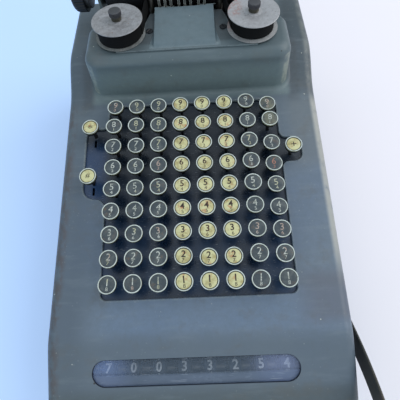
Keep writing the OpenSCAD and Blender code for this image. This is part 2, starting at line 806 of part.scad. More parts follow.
module paper_guide() color(steel) translate([-frame_x, platen_y, platen_z]) rotate([90, 0, 90])
    linear_extrude(2 * frame_x) difference() {
        intersection() {
            circle(platen_r + guide_space + guide_t);
            polygon([[0, 0], for (a = [-68:10:32]) 3 * platen_r * [cos(a), sin(a)]]);
        }
        circle(platen_r + guide_space);
    }

// A ribbon spool standing on its lower flange
module spool_shape() difference() {
    union() {
        cylinder(h = flange_t, r = spool_r);
        cylinder(h = spool_h, r = hub_r);
        translate([0, 0, spool_h - flange_t]) cylinder(h = flange_t, r = spool_r);
    }
    translate([0, 0, -1]) cylinder(h = spool_h + 2, r = stud_r + run_gap);
}

module left_spool() color(steel) translate([-spool_x, spool_y, spool_z]) spool_shape();
module right_spool() color(steel) translate([spool_x, spool_y, spool_z]) spool_shape();

module roll_shape(r) difference() {
    cylinder(h = ribbon_w, r = r);
    translate([0, 0, -1]) cylinder(h = ribbon_w + 2, r = hub_r + run_gap);
}

module left_ribbon_roll() color(rubber) translate([-spool_x, spool_y, ribbon_z]) roll_shape(left_roll_r);
module right_ribbon_roll() color(rubber) translate([spool_x, spool_y, ribbon_z]) roll_shape(right_roll_r);

// Ribbon from the inner side of one roll round its post to the middle, on the right-hand side
module ribbon_half(roll_r) {
    bend_r = post_r + ribbon_gap + ribbon_t;
    start_r = roll_r + ribbon_gap + ribbon_t;
    run = [post_x - spool_x, post_y - spool_y];
    swing = atan2(run[1], run[0]) + acos((start_r + bend_r - ribbon_t) / norm(run)) - 180;
    out = [cos(swing), sin(swing)];
    polygon([
        [spool_x, spool_y] - (start_r - ribbon_t) * out, [post_x, post_y] + bend_r * out,
        [post_x, post_y] + (bend_r - ribbon_t) * out, [spool_x, spool_y] - start_r * out
    ]);
    translate([post_x, post_y]) intersection() {
        difference() {
            circle(bend_r);
            circle(bend_r - ribbon_t);
        }
        polygon([[0, 0], 3 * bend_r * out, 3 * bend_r * [1, 1], 3 * bend_r * [0, 1]]);
    }
    translate([-0.01, post_y + bend_r - ribbon_t]) square([post_x + 0.02, ribbon_t]);
}

module ribbon() color(rubber) translate([0, 0, ribbon_z]) linear_extrude(ribbon_w) {
    ribbon_half(right_roll_r);
    mirror([1, 0, 0]) ribbon_half(left_roll_r);
}

// The posts stand on the upper type bar guide
module ribbon_posts() color(steel) for (s = [-1, 1]) translate([s * post_x, post_y, 0]) {
    below = guide_levels[1] - post_nut_h;
    seat = guide_levels[1] + guide_h;
    translate([0, 0, below]) cylinder(h = seat - below + 1, r = post_stub_r);
    translate([0, 0, below]) cylinder(h = post_nut_h, r = post_nut_r, $fn = 6);
    translate([0, 0, seat]) cylinder(h = ribbon_z + ribbon_w + 1 - seat, r = post_r);
    translate([0, 0, seat]) cylinder(h = 2, r = post_r + 1);
    translate([0, 0, ribbon_z + ribbon_w + 0.4]) cylinder(h = 1, r = post_r + 1);
}

module spool_studs() color(steel) for (s = [-1, 1]) translate([s * spool_x, spool_y, 0]) {
    foot = hump_z - stud_foot;
    translate([0, 0, foot]) cylinder(h = spool_z + spool_h + nut_neck_h + 2 - foot, r = stud_r);
    translate([0, 0, hump_z]) cylinder(h = spool_z - hump_z - 0.1, r = stud_r + 3);
    translate([0, 0, hump_z - wall - stud_nut_h]) cylinder(h = stud_nut_h, r = stud_nut_r, $fn = 6);
}

module spool_nuts() color(brass) for (s = [-1, 1]) translate([s * spool_x, spool_y, spool_z + spool_h + 0.15])
    difference() {
        union() {
            cylinder(h = nut_neck_h + 0.01, r = nut_neck_r);
            translate([0, 0, nut_neck_h]) cylinder(h = nut_head_h, r = nut_head_r);
        }
        translate([0, 0, -1]) cylinder(h = nut_neck_h + 3.2, r = stud_r + run_gap);
        for (k = [0:23]) rotate([0, 0, 15 * k]) translate([nut_head_r + 0.25, 0, nut_neck_h - 0.5])
            cylinder(h = nut_head_h + 1, r = 0.5);
    }

// Outline of a side frame, by Y and Z
module frame_outline() polygon([
    [front_y + 20, pan_z], [rear_y - 16, pan_z], [rear_y - 16, 60],
    [platen_y + upright_half, 100], [platen_y + upright_half, upright_top],
    [platen_y - upright_half, upright_top], [platen_y - upright_half, shoulder_z - 9],
    [hump_y0 + 6, shoulder_z - 9], [hump_y0 + 2, plate_seat_z(hump_y0 - 10)],
    [hump_y0 - 10, plate_seat_z(hump_y0 - 10)],
    [plate_front_y, plate_seat_z(plate_front_y)], [crease_y + 2, dial_z + 14],
    [crease_y - 8, dial_z + 7], [front_y + 20, dial_z + 7]
]);

module frame_holes() {
    hole = 2 * frame_out;
    bar_x(-hole, hole, platen_y, platen_z, platen_shaft_r + run_gap);
    bar_x(-hole, hole, platen_y, feed_z, feed_shaft_r + run_gap);
    bar_x(-hole, hole, dial_y, dial_z, dial_shaft_r + run_gap);
    bar_x(-hole, hole, handle_y, handle_z, handle_shaft_r + run_gap);
    for (rod = rods) bar_x(-hole, hole, rod[0], rod[1], rod_r - 1 + run_gap);
    for (y = [-60, 0, 70]) bar_x(-hole, hole, y, 48, 14);
}

module side_frame(x0) difference() {
    plate_x(x0, frame_t) frame_outline();
    frame_holes();
}

module left_side_frame() color(dull_steel) side_frame(-frame_out);
module right_side_frame() color(dull_steel) side_frame(frame_x);

module tie_rods() color(steel) for (rod = rods) {
    bar_x(-frame_x, frame_x, rod[0], rod[1], rod_r);
    bar_x(-frame_out - 4, frame_out + 4, rod[0], rod[1], rod_r - 1);
    for (s = [-1, 1]) translate([s * (frame_out + 1.5) - 1.5, rod[0], rod[1]]) rotate([0, 90, 0])
        cylinder(h = 3, r = 4, $fn = 6);
}

module handle_shaft() color(steel) {
    bar_x(-frame_out - 5, arm_x + arm_t + 1, handle_y, handle_z, handle_shaft_r);
    bar_x(case_w / 2 + bush_flange_t + 0.2, arm_x, handle_y, handle_z, handle_shaft_r + 3);
    for (s = [-1, 1]) {
        translate([s * drive_x - drive_t / 2, handle_y, handle_z]) rotate([0, 90, 0]) {
            cylinder(h = drive_t, r = drive_r);
            translate([0, 0, -2]) cylinder(h = drive_t + 4, r = handle_shaft_r + 2.5);
        }
    }
    bar_x(-frame_out - 4, -frame_out - 0.3, handle_y, handle_z, handle_shaft_r + 3);
}

module handle_bushing() color(brass) difference() {
    union() {
        bar_x(case_w / 2 - wall - 3, case_w / 2 + 0.01, handle_y, handle_z, bush_r);
        bar_x(case_w / 2, case_w / 2 + bush_flange_t, handle_y, handle_z, bush_flange_r);
    }
    bar_x(case_w / 2 - 10, case_w / 2 + 10, handle_y, handle_z, handle_shaft_r + run_gap);
}

// Middle line of the handle arm: straight, then an even bend, by length from the shaft
function arm_dir(s) = arm_lift - (s > arm_straight ? (s - arm_straight) / arm_bend_r * 180 / PI : 0);
function arm_mid(s) = s <= arm_straight ? s * [-cos(arm_lift), sin(arm_lift)] :
    arm_straight * [-cos(arm_lift), sin(arm_lift)]
    + arm_bend_r * [sin(arm_dir(s)) - sin(arm_lift), cos(arm_dir(s)) - cos(arm_lift)];
function arm_half(s) = arm_w0 / 2 + (arm_w1 - arm_w0) / 2 * s / arm_l;
function arm_edge(s, side) = arm_mid(s) + side * arm_half(s) * [sin(arm_dir(s)), cos(arm_dir(s))];

module handle_arm() color(steel) {
    translate([0, handle_y, handle_z]) difference() {
        plate_x(arm_x, arm_t) {
            polygon(concat(
                [for (s = [0:10:arm_l]) arm_edge(s, 1)],
                [for (s = [arm_l:-10:0]) arm_edge(s, -1)]
            ));
            circle(arm_hub_r);
            translate(grip_at) circle(arm_w1 / 2);
        }
        bar_x(arm_x - 1, arm_x + arm_t + 1, 0, 0, handle_shaft_r + run_gap);
    }
    translate([0, handle_y + grip_at[0], handle_z + grip_at[1]]) {
        bar_x(arm_x + arm_t - 0.01, grip_end - 3, 0, 0, grip_pin_r);
        bar_x(grip_end - 3.01, grip_end - 1, 0, 0, grip_pin_r + 2);
    }
    difference() {
        translate([arm_x + arm_t, handle_y, handle_z]) rotate([0, 90, 0])
            cylinder(h = nut_t, r = nut_r, $fn = 6);
        bar_x(arm_x + arm_t - 1, arm_x + arm_t + nut_t - 1, handle_y, handle_z, handle_shaft_r + run_gap);
    }
}

module handle_grip() color(rubber)
    translate([grip_end - grip_w, handle_y + grip_at[0], handle_z + grip_at[1]]) rotate([0, 90, 0])
    difference() {
        rotate_extrude() polygon([
            [0, 0], [grip_r * 0.62, 0], for (k = [0:12]) [
                grip_r * (0.66 + 0.34 * sin(15 + 150 * k / 12)) - (k == 12 ? 1 : 0),
                2 + (grip_w - 3.5) * k / 12
            ], [grip_r * 0.55, grip_w], [0, grip_w]
        ]);
        translate([0, 0, -1]) cylinder(h = grip_w + 2, r = grip_pin_r + run_gap);
        translate([0, 0, grip_w - 3.6]) cylinder(h = 5, r = grip_pin_r + 2.3);
    }

// Torsion spring wound round the handle shaft between side frame and case wall
function coil_out(t) = [0, cos(360 * coil_turns * t), sin(360 * coil_turns * t)];
module return_spring() color(steel) translate([0, handle_y, handle_z])
    loft([for (i = [0:coil_steps]) let (
        t = i / coil_steps,
        c = coil_r * coil_out(t) + [coil_x0 + (coil_x1 - coil_x0) * t, 0, 0]
    ) [for (k = [0:7]) c + wire_r * (cos(-45 * k) * coil_out(t) + sin(-45 * k) * [1, 0, 0])]]);

case_shell();
base_pan();
rubber_feet();
foot_screws();
ribbon_cover();
cover_screws();
window_lens();
keyboard_plate();
key_guide_plate();
key_column_1();
key_column_2();
key_column_3();
key_column_4();
key_column_5();
key_column_6();
key_column_7();
key_column_8();
upper_left_key();
lower_left_key();
right_key();
number_dial_1();
number_dial_2();
number_dial_3();
number_dial_4();
number_dial_5();
number_dial_6();
number_dial_7();
number_dial_8();
dial_shaft();
type_bar_1();
type_bar_2();
type_bar_3();
type_bar_4();
type_bar_5();
type_bar_6();
type_bar_7();
type_bar_8();
type_bar_guides();
platen();
platen_shaft();
left_platen_knob();
right_platen_knob();
feed_roller();
paper_guide();
left_spool();
right_spool();
left_ribbon_roll();
right_ribbon_roll();
ribbon();
ribbon_posts();
spool_studs();
spool_nuts();
left_side_frame();
right_side_frame();
tie_rods();
handle_shaft();
handle_bushing();
handle_arm();
handle_grip();
return_spring();
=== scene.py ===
import math
import random

import bmesh
import bpy
from mathutils import Matrix, Vector


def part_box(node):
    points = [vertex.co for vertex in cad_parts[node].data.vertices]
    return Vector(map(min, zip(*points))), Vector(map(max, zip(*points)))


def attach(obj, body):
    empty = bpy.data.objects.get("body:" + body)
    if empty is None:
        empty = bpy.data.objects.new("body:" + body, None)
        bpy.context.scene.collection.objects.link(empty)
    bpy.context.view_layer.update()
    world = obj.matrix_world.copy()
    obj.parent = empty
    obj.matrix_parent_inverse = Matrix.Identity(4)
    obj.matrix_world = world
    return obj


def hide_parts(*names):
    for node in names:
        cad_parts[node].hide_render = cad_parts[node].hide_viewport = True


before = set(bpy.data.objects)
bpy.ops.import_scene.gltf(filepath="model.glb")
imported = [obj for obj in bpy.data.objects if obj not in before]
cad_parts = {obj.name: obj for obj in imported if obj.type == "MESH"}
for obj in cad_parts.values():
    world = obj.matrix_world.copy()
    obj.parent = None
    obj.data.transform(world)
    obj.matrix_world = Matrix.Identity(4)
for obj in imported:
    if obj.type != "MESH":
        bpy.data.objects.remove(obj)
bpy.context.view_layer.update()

# All modelling below is in millimetres and is scaled to metres when an object is made
MM = 0.001

# Radius that stands for a turned body's own axis
POLE = 0.001

random.seed(7)


# Small tools

def rad(degrees):
    return degrees * math.pi / 180


def cos(degrees):
    return math.cos(rad(degrees))


def sin(degrees):
    return math.sin(rad(degrees))


def tan(degrees):
    return math.tan(rad(degrees))


def spoke(radius, degrees):
    return radius * cos(degrees), radius * sin(degrees)


def move(x, y, z):
    return Matrix.Translation((x, y, z))


def turn(degrees, axis):
    return Matrix.Rotation(rad(degrees), 4, axis)


def box_mm(node):
    """Low corner, high corner and middle of a CAD node's box."""
    low, high = (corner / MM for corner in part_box(node))
    return low, high, [(a + b) / 2 for a, b in zip(low, high)]


def skin(count, n):
    """Faces between count rings of n points."""
    return [
        [j * n + i, (j + 1) * n + i, (j + 1) * n + (i + 1) % n, j * n + (i + 1) % n]
        for j in range(count - 1)
        for i in range(n)
    ]


def new_object(name, data):
    made = bpy.data.objects.new(name, data)
    bpy.context.scene.collection.objects.link(made)
    return made


class Shape:
    """Vertices and faces gathered in millimetres, with one material number a face."""

    def __init__(self):
        self.points = []
        self.faces = []
        self.numbers = []

    def add(self, points, faces, number=0, at=None):
        start = len(self.points)
        at = at or Matrix.Identity(4)
        self.points += [at @ Vector(p) for p in points]
        self.faces += [[start + i for i in f] for f in faces]
        self.numbers += [number] * len(faces)

    def rings(self, rings, number=0, at=None):
        """Skin through rings of equal length, closed at both ends."""
        n = len(rings[0])
        faces = skin(len(rings), n)
        faces.append(list(range(n)))
        faces.append([(len(rings) - 1) * n + i for i in reversed(range(n))])
        self.add([p for ring in rings for p in ring], faces, number, at)

    def lathe(self, profile, number, at, steps):
        """Turned body about Z through (radius, height) pairs, from the top down along the outside."""
        self.rings([[(*spoke(r, 360 * i / steps), z) for i in range(steps)] for r, z in profile], number, at)

    def tube(self, profile, number, at, steps):
        """Turned ring about Z: the profile closes on itself."""
        n = len(profile)
        points = [(*spoke(r, 360 * i / steps), z) for i in range(steps) for r, z in profile]
        faces = [
            [i * n + j, i * n + (j + 1) % n, (i + 1) % steps * n + (j + 1) % n, (i + 1) % steps * n + j]
            for i in range(steps)
            for j in range(n)
        ]
        self.add(points, faces, number, at)

    def slab(self, outline, z0, z1, number=0, at=None, edge=0.3):
        """Plate from a counter-clockwise outline, with both rims broken by a small bevel."""
        inner = inset(outline, edge)
        levels = ((inner, z1), (outline, z1 - edge), (outline, z0 + edge), (inner, z0))
        self.rings([[(x, y, z) for x, y in ring] for ring, z in levels], number, at)

    def block(self, low, high, number=0, at=None, edge=0.25):
        (x0, y0, z0), (x1, y1, z1) = low, high
        self.slab([(x0, y0), (x1, y0), (x1, y1), (x0, y1)], z0, z1, number, at, edge)

    def bar(self, x0, x1, y, z, r, number=0, edge=0.3, steps=32):
        """Round bar along X."""
        long = x1 - x0
        profile = [(POLE, long), (r - edge, long), (r, long - edge), (r, edge), (r - edge, 0), (POLE, 0)]
        self.lathe(profile, number, move(x0, y, z) @ turn(90, "Y"), steps)

    def make(self, name, materials, smooth=35):
        mesh = bpy.data.meshes.new(name)
        mesh.from_pydata([p * MM for p in self.points], [], self.faces)
        for material in materials:
            mesh.materials.append(material)
        mesh.polygons.foreach_set("material_index", self.numbers)
        mesh.validate()
        work = bmesh.new()
        work.from_mesh(mesh)
        bmesh.ops.remove_doubles(work, verts=work.verts, dist=1e-6)
        bmesh.ops.recalc_face_normals(work, faces=work.faces)
        work.to_mesh(mesh)
        work.free()
        mesh.shade_smooth()
        mesh.set_sharp_from_angle(angle=rad(smooth))
        return new_object(name, mesh)


def solid(name, rings, at=None, material=None, smooth=35):
    """One closed body through rings."""
    shape = Shape()
    shape.rings(rings, at=at)
    return shape.make(name, [material or PAINT], smooth)


def inset(outline, distance):
    """Moves a closed outline inwards along the mean of its neighbours' normals."""
    moved = []
    n = len(outline)
    for i in range(n):
        a, b, c = (Vector(outline[(i + k) % n]).to_2d() for k in (-1, 0, 1))
        first = (b - a).normalized()
        second = (c - b).normalized()
        normal = Vector((-first.y - second.y, first.x + second.x))
        if normal.length < 1e-6:
            moved.append(tuple(b))
            continue
        normal.normalize()
        share = max(0.4, normal.dot(Vector((-first.y, first.x))))
        moved.append(tuple(b + normal * (distance / share)))
    return moved


def rounded(corners, steps=6):
    """Counter-clockwise outline through (x, y, radius) corners, each turned into an arc."""
    outline = []
    n = len(corners)
    for i in range(n):
        a, b, c = (Vector(corners[(i + k) % n][:2]) for k in (-1, 0, 1))
        r = corners[i][2]
        back = (a - b).normalized()
        ahead = (c - b).normalized()
        half = back.angle(ahead) / 2
        if r <= 0 or half > rad(89.5):
            outline.append(tuple(b))
            continue
        reach = r / math.tan(half)
        centre = b + (back + ahead).normalized() * (r / math.sin(half))
        start = b + back * reach - centre
        sweep = math.pi - 2 * half
        if back.x * ahead.y - back.y * ahead.x > 0:
            sweep = -sweep
        for k in range(steps + 1):
            t = sweep * k / steps
            outline.append((
                centre.x + start.x * math.cos(t) - start.y * math.sin(t),
                centre.y + start.x * math.sin(t) + start.y * math.cos(t),
            ))
    return outline


def shade_again(piece, smooth):
    """Shades a carved piece, with large flat faces kept flat beside small curved ones."""
    piece.data.shade_smooth()
    piece.data.set_sharp_from_angle(angle=rad(smooth))
    piece.modifiers.new("weighted", "WEIGHTED_NORMAL").keep_sharp = True
    apply_modifiers(piece)


def apply_modifiers(piece):
    graph = bpy.context.evaluated_depsgraph_get()
    baked = bpy.data.meshes.new_from_object(piece.evaluated_get(graph))
    old = piece.data
    piece.modifiers.clear()
    piece.data = baked
    bpy.data.meshes.remove(old)


def carve(piece, tool, operation="DIFFERENCE"):
    """Boolean of piece with tool, which is used up."""
    modifier = piece.modifiers.new("carve", "BOOLEAN")
    modifier.operation = operation
    modifier.solver = "EXACT"
    modifier.object = tool
    bpy.context.view_layer.update()
    apply_modifiers(piece)
    bpy.data.objects.remove(tool)


def place(piece, body, slot, *nodes):
    """Seats a finished piece on its body, in place of the CAD nodes named."""
    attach(piece, body)
    if nodes:
        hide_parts(*nodes)


# Materials

def srgb(r, g, b):
    """Screen colour, 0 to 255, as linear light."""
    def one(v):
        v /= 255
        return v / 12.92 if v <= 0.04045 else ((v + 0.055) / 1.055) ** 2.4
    return (one(r), one(g), one(b), 1.0)


def shade(value):
    """Three numbers are a screen colour, one is a grey level, and the rest goes through as it is."""
    if isinstance(value, tuple) and len(value) == 3:
        return srgb(*value)
    return (value,) * 3 + (1,) if isinstance(value, (int, float)) else value


class Nodes:
    """A short way to write one tree of shader nodes."""

    def __init__(self, tree, place, unit):
        self.tree = tree
        self.place = tree.nodes.new("ShaderNodeTexCoord").outputs[place]
        self.unit = unit

    def node(self, kind, **inputs):
        made = self.tree.nodes.new("ShaderNode" + kind)
        self.feed_all(made, inputs)
        return made

    def feed_all(self, made, inputs):
        for key, value in inputs.items():
            self.feed(made.inputs[key.replace("_", " ")], value)

    def feed(self, socket, value):
        if isinstance(value, bpy.types.NodeSocket):
            self.tree.links.new(value, socket)
        else:
            socket.default_value = value

    def pair(self, kind, operation, a, b):
        made = self.node(kind)
        made.operation = operation
        self.feed(made.inputs[0], a)
        self.feed(made.inputs[1], b)
        return made

    def math(self, operation, a, b):
        return self.pair("Math", operation, a, b).outputs[0]

    def product(self, made, *shares):
        for share in shares:
            made = self.math("MULTIPLY", made, share)
        return made

    def rest(self, share):
        return self.math("SUBTRACT", 1.0, share)

    def ramp(self, value, low, high, flip=False):
        ends = {"From_Min": low, "From_Max": high, "To_Min": float(flip), "To_Max": 1.0 - flip}
        made = self.node("MapRange", Value=value, **ends)
        made.interpolation_type = "SMOOTHSTEP"
        return made.outputs[0]

    def along(self, axis, low, high):
        """Share that goes from 0 to 1 between two places along one axis."""
        split = self.node("SeparateXYZ", Vector=self.place)
        return self.ramp(split.outputs[axis], low * self.unit, high * self.unit)

    def mix(self, share, first, second):
        made = self.node("Mix")
        made.data_type = "RGBA"
        for socket, value in ((0, share), (6, shade(first)), (7, shade(second))):
            self.feed(made.inputs[socket], value)
        return made.outputs[2]


class Finish(Nodes):
    """One procedural material, placed in millimetres, whose colour is laid on in coats."""

    def __init__(self, name):
        self.material = bpy.data.materials.new(name)
        self.material.use_nodes = True
        super().__init__(self.material.node_tree, "Object", MM)
        self.colour = None

    def over(self, tone, *shares):
        """Lays a tone over the colour so far, by the product of the shares."""
        self.colour = self.mix(self.product(*shares), self.colour, tone)

    def done(self, **inputs):
        """Links the colour and the other inputs to the shader."""
        self.feed_all(self.tree.nodes["Principled BSDF"], {"Base_Color": self.colour, **inputs})
        return self.material

    def texture(self, kind, size, shift, stretch=(1, 1, 1), **inputs):
        mapping = self.node("Mapping", Vector=self.place, Scale=stretch, Location=shift)
        return self.node(kind, Vector=mapping.outputs[0], Scale=1000 / size, **inputs)

    def noise(self, size, detail=4.0, rough=0.6, stretch=(1, 1, 1), shift=(0, 0, 0)):
        return self.texture("TexNoise", size, shift, stretch, Detail=detail, Roughness=rough).outputs["Fac"]

    def cloud(self, size, low, high, *how, **also):
        """Share that is 1 in soft patches of noise."""
        return self.ramp(self.noise(size, *how, **also), low, high)

    def dots(self, size, low, high, shift=(0, 0, 0)):
        """Share that is 1 in small dots."""
        return self.ramp(self.texture("TexVoronoi", size, shift).outputs["Distance"], low, high, True)

    def within(self, axis, low, high, soft=2.0):
        """Share that is 1 between two places along one axis of the machine, and 0 outside them."""
        return self.product(self.along(axis, low - soft, low), self.along(axis, high + soft, high))

    def lean(self, first, second):
        return self.pair("VectorMath", "DOT_PRODUCT", first, second).outputs["Value"]

    def normal(self):
        return self.node("NewGeometry").outputs["Normal"]

    def facing(self, way, low, high):
        """Share from how far the surface looks one way."""
        return self.ramp(self.lean(self.normal(), way), low, high)

    def facing_up(self, low, high):
        return self.facing((0, 0, 1), low, high)

    def edges(self, radius, high, low=0.02):
        """Share of wear on outer edges, from how far a bevelled normal leans from the true one."""
        bevel = self.node("Bevel", Radius=radius * MM)
        bevel.samples = 6
        return self.ramp(self.lean(bevel.outputs[0], self.normal()), 1 - low, 1 - high)

    def bump(self, height, strength, distance):
        made = self.node("Bump", Height=height, Strength=strength, Distance=distance * MM)
        self.feed(self.tree.nodes["Principled BSDF"].inputs["Normal"], made.outputs[0])


def case_paint():
    """Blue-grey enamel: greener on the spool housing, speckled, stained and worn at its edges; painted shade
    darkens its left side, its walls, the slot and the housing's foot, and painted light brightens the lower
    deck, the housing's front and the right rim.
    """
    f = Finish("case_paint")
    drift = f.cloud(70, 0.35, 0.65)
    fine = f.cloud(5, 0.3, 0.7, 6, 0.7)
    f.colour = f.mix(drift, (95, 111, 131), (103, 117, 133))

    # Broad tones over the deck: painted shade over its left side, then its rear, the crease in front and the
    # panel's low end
    f.over((72, 84, 98), f.along("X", -74, -98), 0.6)
    f.over((92, 104, 112), f.along("Y", -30, 50), 0.6)
    f.over((78, 90, 101), f.along("Y", 45, 72), 0.8)
    f.over((66, 77, 85), f.along("X", 90, 97), f.along("Y", 60, 76), 0.95)
    # Painted sheen: a paler, bluer band across the lower deck for the sky's reflection
    f.over((106, 126, 152), f.within("Y", -132, -112, 9), f.along("X", -90, -60), 0.5)
    f.over((92, 93, 104), f.along("X", 66, 94), f.within("Y", -126, -104, 14), 0.65)
    f.over((112, 115, 114), f.along("X", 80, 95), f.within("Y", 0, 50, 15), 0.35)
    # Painted shade, with some dirt, on the shoulders beside the housing's foot
    for x in (-95, 95):
        shade_and_dirt_beside = f.product(f.within("X", x - 3, x + 3, 5), f.within("Y", 62, 112, 10))
        f.over((56, 59, 62), shade_and_dirt_beside, f.along("Z", 133, 130), 0.4)
    f.over((86, 97, 107), f.along("Y", -134, -148), 0.6)
    f.over((76, 86, 92), f.along("Y", -169, -180), 0.9)

    # The housing, with a darker top, a stained left end and painted light on its front, then painted shade on
    # the walls
    housing = f.product(f.within("X", -88, 88, 6), f.along("Z", 104, 110), f.along("Y", 60, 66))
    f.over((94, 109, 114), housing)
    f.over((78, 92, 98), housing, f.along("Z", 136, 147), 0.6)
    stained = f.product(housing, f.along("X", -60, -76), f.along("Z", 143, 149))
    f.over((96, 92, 90), stained, f.cloud(9, 0.35, 0.6, 5, 0.7), 0.3)
    # Painted light: the housing's front face made paler
    f.over((112, 128, 130), housing, f.along("Y", 78, 70), f.along("Z", 142, 132), 0.6)
    # Painted shade: walls that face sideways get a darker tone
    wall_shade_tone = f.mix(drift, (82, 95, 109), (92, 106, 121))
    f.over(wall_shade_tone, f.facing_up(0.4, 0.15), f.rest(housing))

    # Mottling, streaks and grime
    f.over((88, 102, 112), fine, 0.3)
    f.over((126, 138, 146), f.cloud(8, 0.5, 0.75, stretch=(0.3, 1.6, 1)), 0.18)
    f.over((92, 90, 84), f.cloud(26, 0.52, 0.72, 5, 0.7, shift=(3, 1, 0)), 0.3)

    # Rims: brown at the left, a pale band at the right that is rubbed paint under a painted highlight, dusty
    # behind that, and the housing's corners
    patch = f.product(f.facing_up(0.15, 0.4), f.cloud(7, 0.38, 0.62, 5, 0.7, (1, 0.6, 1)))
    f.over((82, 75, 76), patch, f.along("Y", 70, 50), f.along("X", -102.5, -108), 0.7)
    # Pale band along the right rim: rubbed paint and a painted highlight
    rim_highlight_share = f.product(f.facing_up(0.1, 0.35), f.cloud(16, 0.2, 0.5), f.along("Y", 66, 50))
    f.over((174, 174, 168), rim_highlight_share, f.along("X", 106.5, 111), f.along("Y", -112, -70), 0.75)
    f.over((134, 137, 132), patch, f.along("X", 105, 110), f.along("Y", 60, 80), 0.4)
    for x in (0.71, -0.71):
        corner = f.facing((x, -0.71, 0), 0.93, 0.985)
        f.over((158, 164, 152), housing, corner, f.cloud(9, 0.3, 0.55), 0.6)

    # Worn edges, except those of the window's slot, whose inside wall is darkened as painted shade
    slot = f.product(f.within("X", -83, 77), f.within("Y", -176, -151))
    f.over((166, 172, 162), f.edges(3.5, 0.25), f.cloud(4, 0.35, 0.6, 5, 0.7), f.rest(slot), 0.7)
    # Painted shade: the inside wall of the window's slot made dark
    f.over((22, 30, 46), slot, f.facing_up(0.86, 0.7))

    # Pale dots, specks and dark chips
    f.over((150, 160, 164), f.dots(3.4, 0.1, 0.18, (1, 4, 0)), f.cloud(12, 0.5, 0.6, 2), 0.2)
    f.over((206, 208, 200), f.dots(8, 0.045, 0.08), f.cloud(24, 0.55, 0.62, 2), 0.8)
    f.over((52, 50, 50), f.dots(16, 0.03, 0.055, (7, 0, 2)), f.cloud(40, 0.5, 0.56, 2, shift=(5, 5, 5)))
    f.bump(f.noise(1.6), 0.3, 0.08)
    return f.done(Roughness=f.mix(fine, 0.36, 0.52), Specular_IOR_Level=0.5)


def cover_paint(name, base, light, front_y, grimy):
    """Thin brownish-grey paint of the ribbon cover, rubbed and grimy: darker behind a lighter front strip,
    partly grime and partly the spools' painted shadow, with painted shade towards its left and painted
    highlights on its rubbed edges.
    """
    f = Finish(name)
    fine = f.cloud(5, 0.3, 0.7, 6, 0.7)
    f.colour = f.mix(fine, base, light)
    # Lighter front strip; behind it the darker base tone is partly grime and partly the spools' painted
    # shadow
    f.over((92, 106, 112), f.along("Y", front_y + 4, front_y))
    # Painted shade towards the left
    f.over((58, 64, 68), f.along("X", -26, -40), 0.4)
    f.over((72, 70, 66), f.cloud(16, 0.48, 0.68, 5, 0.7, shift=(3, 1, 0)), grimy)
    f.over((190, 192, 186), f.dots(5, 0.05, 0.09), f.cloud(20, 0.5, 0.58, 2), 0.7)
    # Pale rubbed edges, also painted highlights along the folds
    f.over((136, 148, 152), f.edges(1.5, 0.12, 0.01), f.cloud(4, 0.3, 0.55), 0.45)
    f.bump(f.noise(1.6), 0.3, 0.08)
    return f.done(Roughness=f.mix(fine, 0.4, 0.55), Specular_IOR_Level=0.5)


def dark_enamel():
    """Dark blue enamel of the plate and the pan, dusty and scratched, with a painted bluish sheen over the
    left lobe.
    """
    f = Finish("dark_enamel")
    drift = f.cloud(30, 0.35, 0.65)
    f.colour = f.mix(drift, (10, 30, 52), (20, 48, 78))
    f.over((14, 24, 32), f.along("Y", -70, 0), 0.8)
    # Painted sheen: bluer over the left lobe, for the sky's reflection
    f.over((36, 62, 98), f.along("X", -70, -82), f.along("Y", 30, 10), 0.9)
    f.over((92, 112, 136), f.cloud(3, 0.62, 0.76, 6, 0.75), 0.35)
    f.over((160, 165, 172), f.cloud(4, 0.66, 0.7, 3, 0.5, (1, 9, 1)), 0.5)
    f.bump(f.noise(2), 0.2, 0.06)
    return f.done(Roughness=f.mix(drift, 0.22, 0.38), Specular_IOR_Level=0.6)


def steel(name, tone, rust, roughness):
    """Bare metal with rough, rusty stains."""
    f = Finish(name)
    grain = f.noise(1.2)
    bright = srgb(*tone)
    f.colour = f.mix(grain, tuple(v * 0.8 for v in bright[:3]) + (1,), bright)
    stain = f.cloud(9, 0.62 - rust * 0.25, 0.78 - rust * 0.2, 6, 0.75)
    f.over((96, 66, 44), stain, min(1, rust * 2))
    f.bump(grain, 0.2, 0.04)
    return f.done(Roughness=f.mix(stain, roughness, 0.8), Metallic=f.ramp(stain, 0.3, 0.9, True))


def plated(name, dark, light, rust):
    """Dull nickel plate of the spools: mottled and specked, lighter at the right, rusty at one edge there."""
    f = Finish(name)
    mottle = f.cloud(4, 0.3, 0.7, 7, 0.75)
    f.colour = f.mix(mottle, dark, light)
    f.over((190, 190, 194), f.along("X", -20, 20), 0.4)
    f.over((96, 92, 90), f.cloud(1.5, 0.55, 0.7, 4, 0.7, shift=(1, 1, 0)), 0.4)
    f.over((74, 70, 68), f.dots(2.6, 0.12, 0.2), f.cloud(9, 0.48, 0.6, 3), 0.7)
    f.over((214, 210, 206), f.dots(2.2, 0.12, 0.22, (3, 3, 0)), f.cloud(7, 0.5, 0.6, 3, shift=(2, 0, 6)), 0.5)
    f.over((122, 88, 74), f.cloud(5, 0.6, 0.7, 5, 0.75, shift=(9, 2, 0)), rust)
    edge = f.product(f.within("X", 34, 45, 5), f.within("Y", 98, 118, 5))
    f.over((156, 104, 92), edge, f.cloud(3, 0.42, 0.6, 5, 0.7), 0.5)
    f.bump(f.noise(2, 5, 0.7), 0.25, 0.06)
    return f.done(Roughness=f.mix(mottle, 0.42, 0.62), Metallic=0.3)


def type_steel():
    """Dark oiled steel of the type bars, with painted highlights along their rubbed edges."""
    f = Finish("type_steel")
    grain = f.noise(3, 4, 0.7)
    f.colour = f.mix(grain, (64, 64, 62), (118, 118, 114))
    # Painted highlights along the rubbed edges
    f.over((226, 228, 224), f.edges(0.5, 0.15))
    f.bump(grain, 0.2, 0.04)
    return f.done(Roughness=0.35, Metallic=0.4)


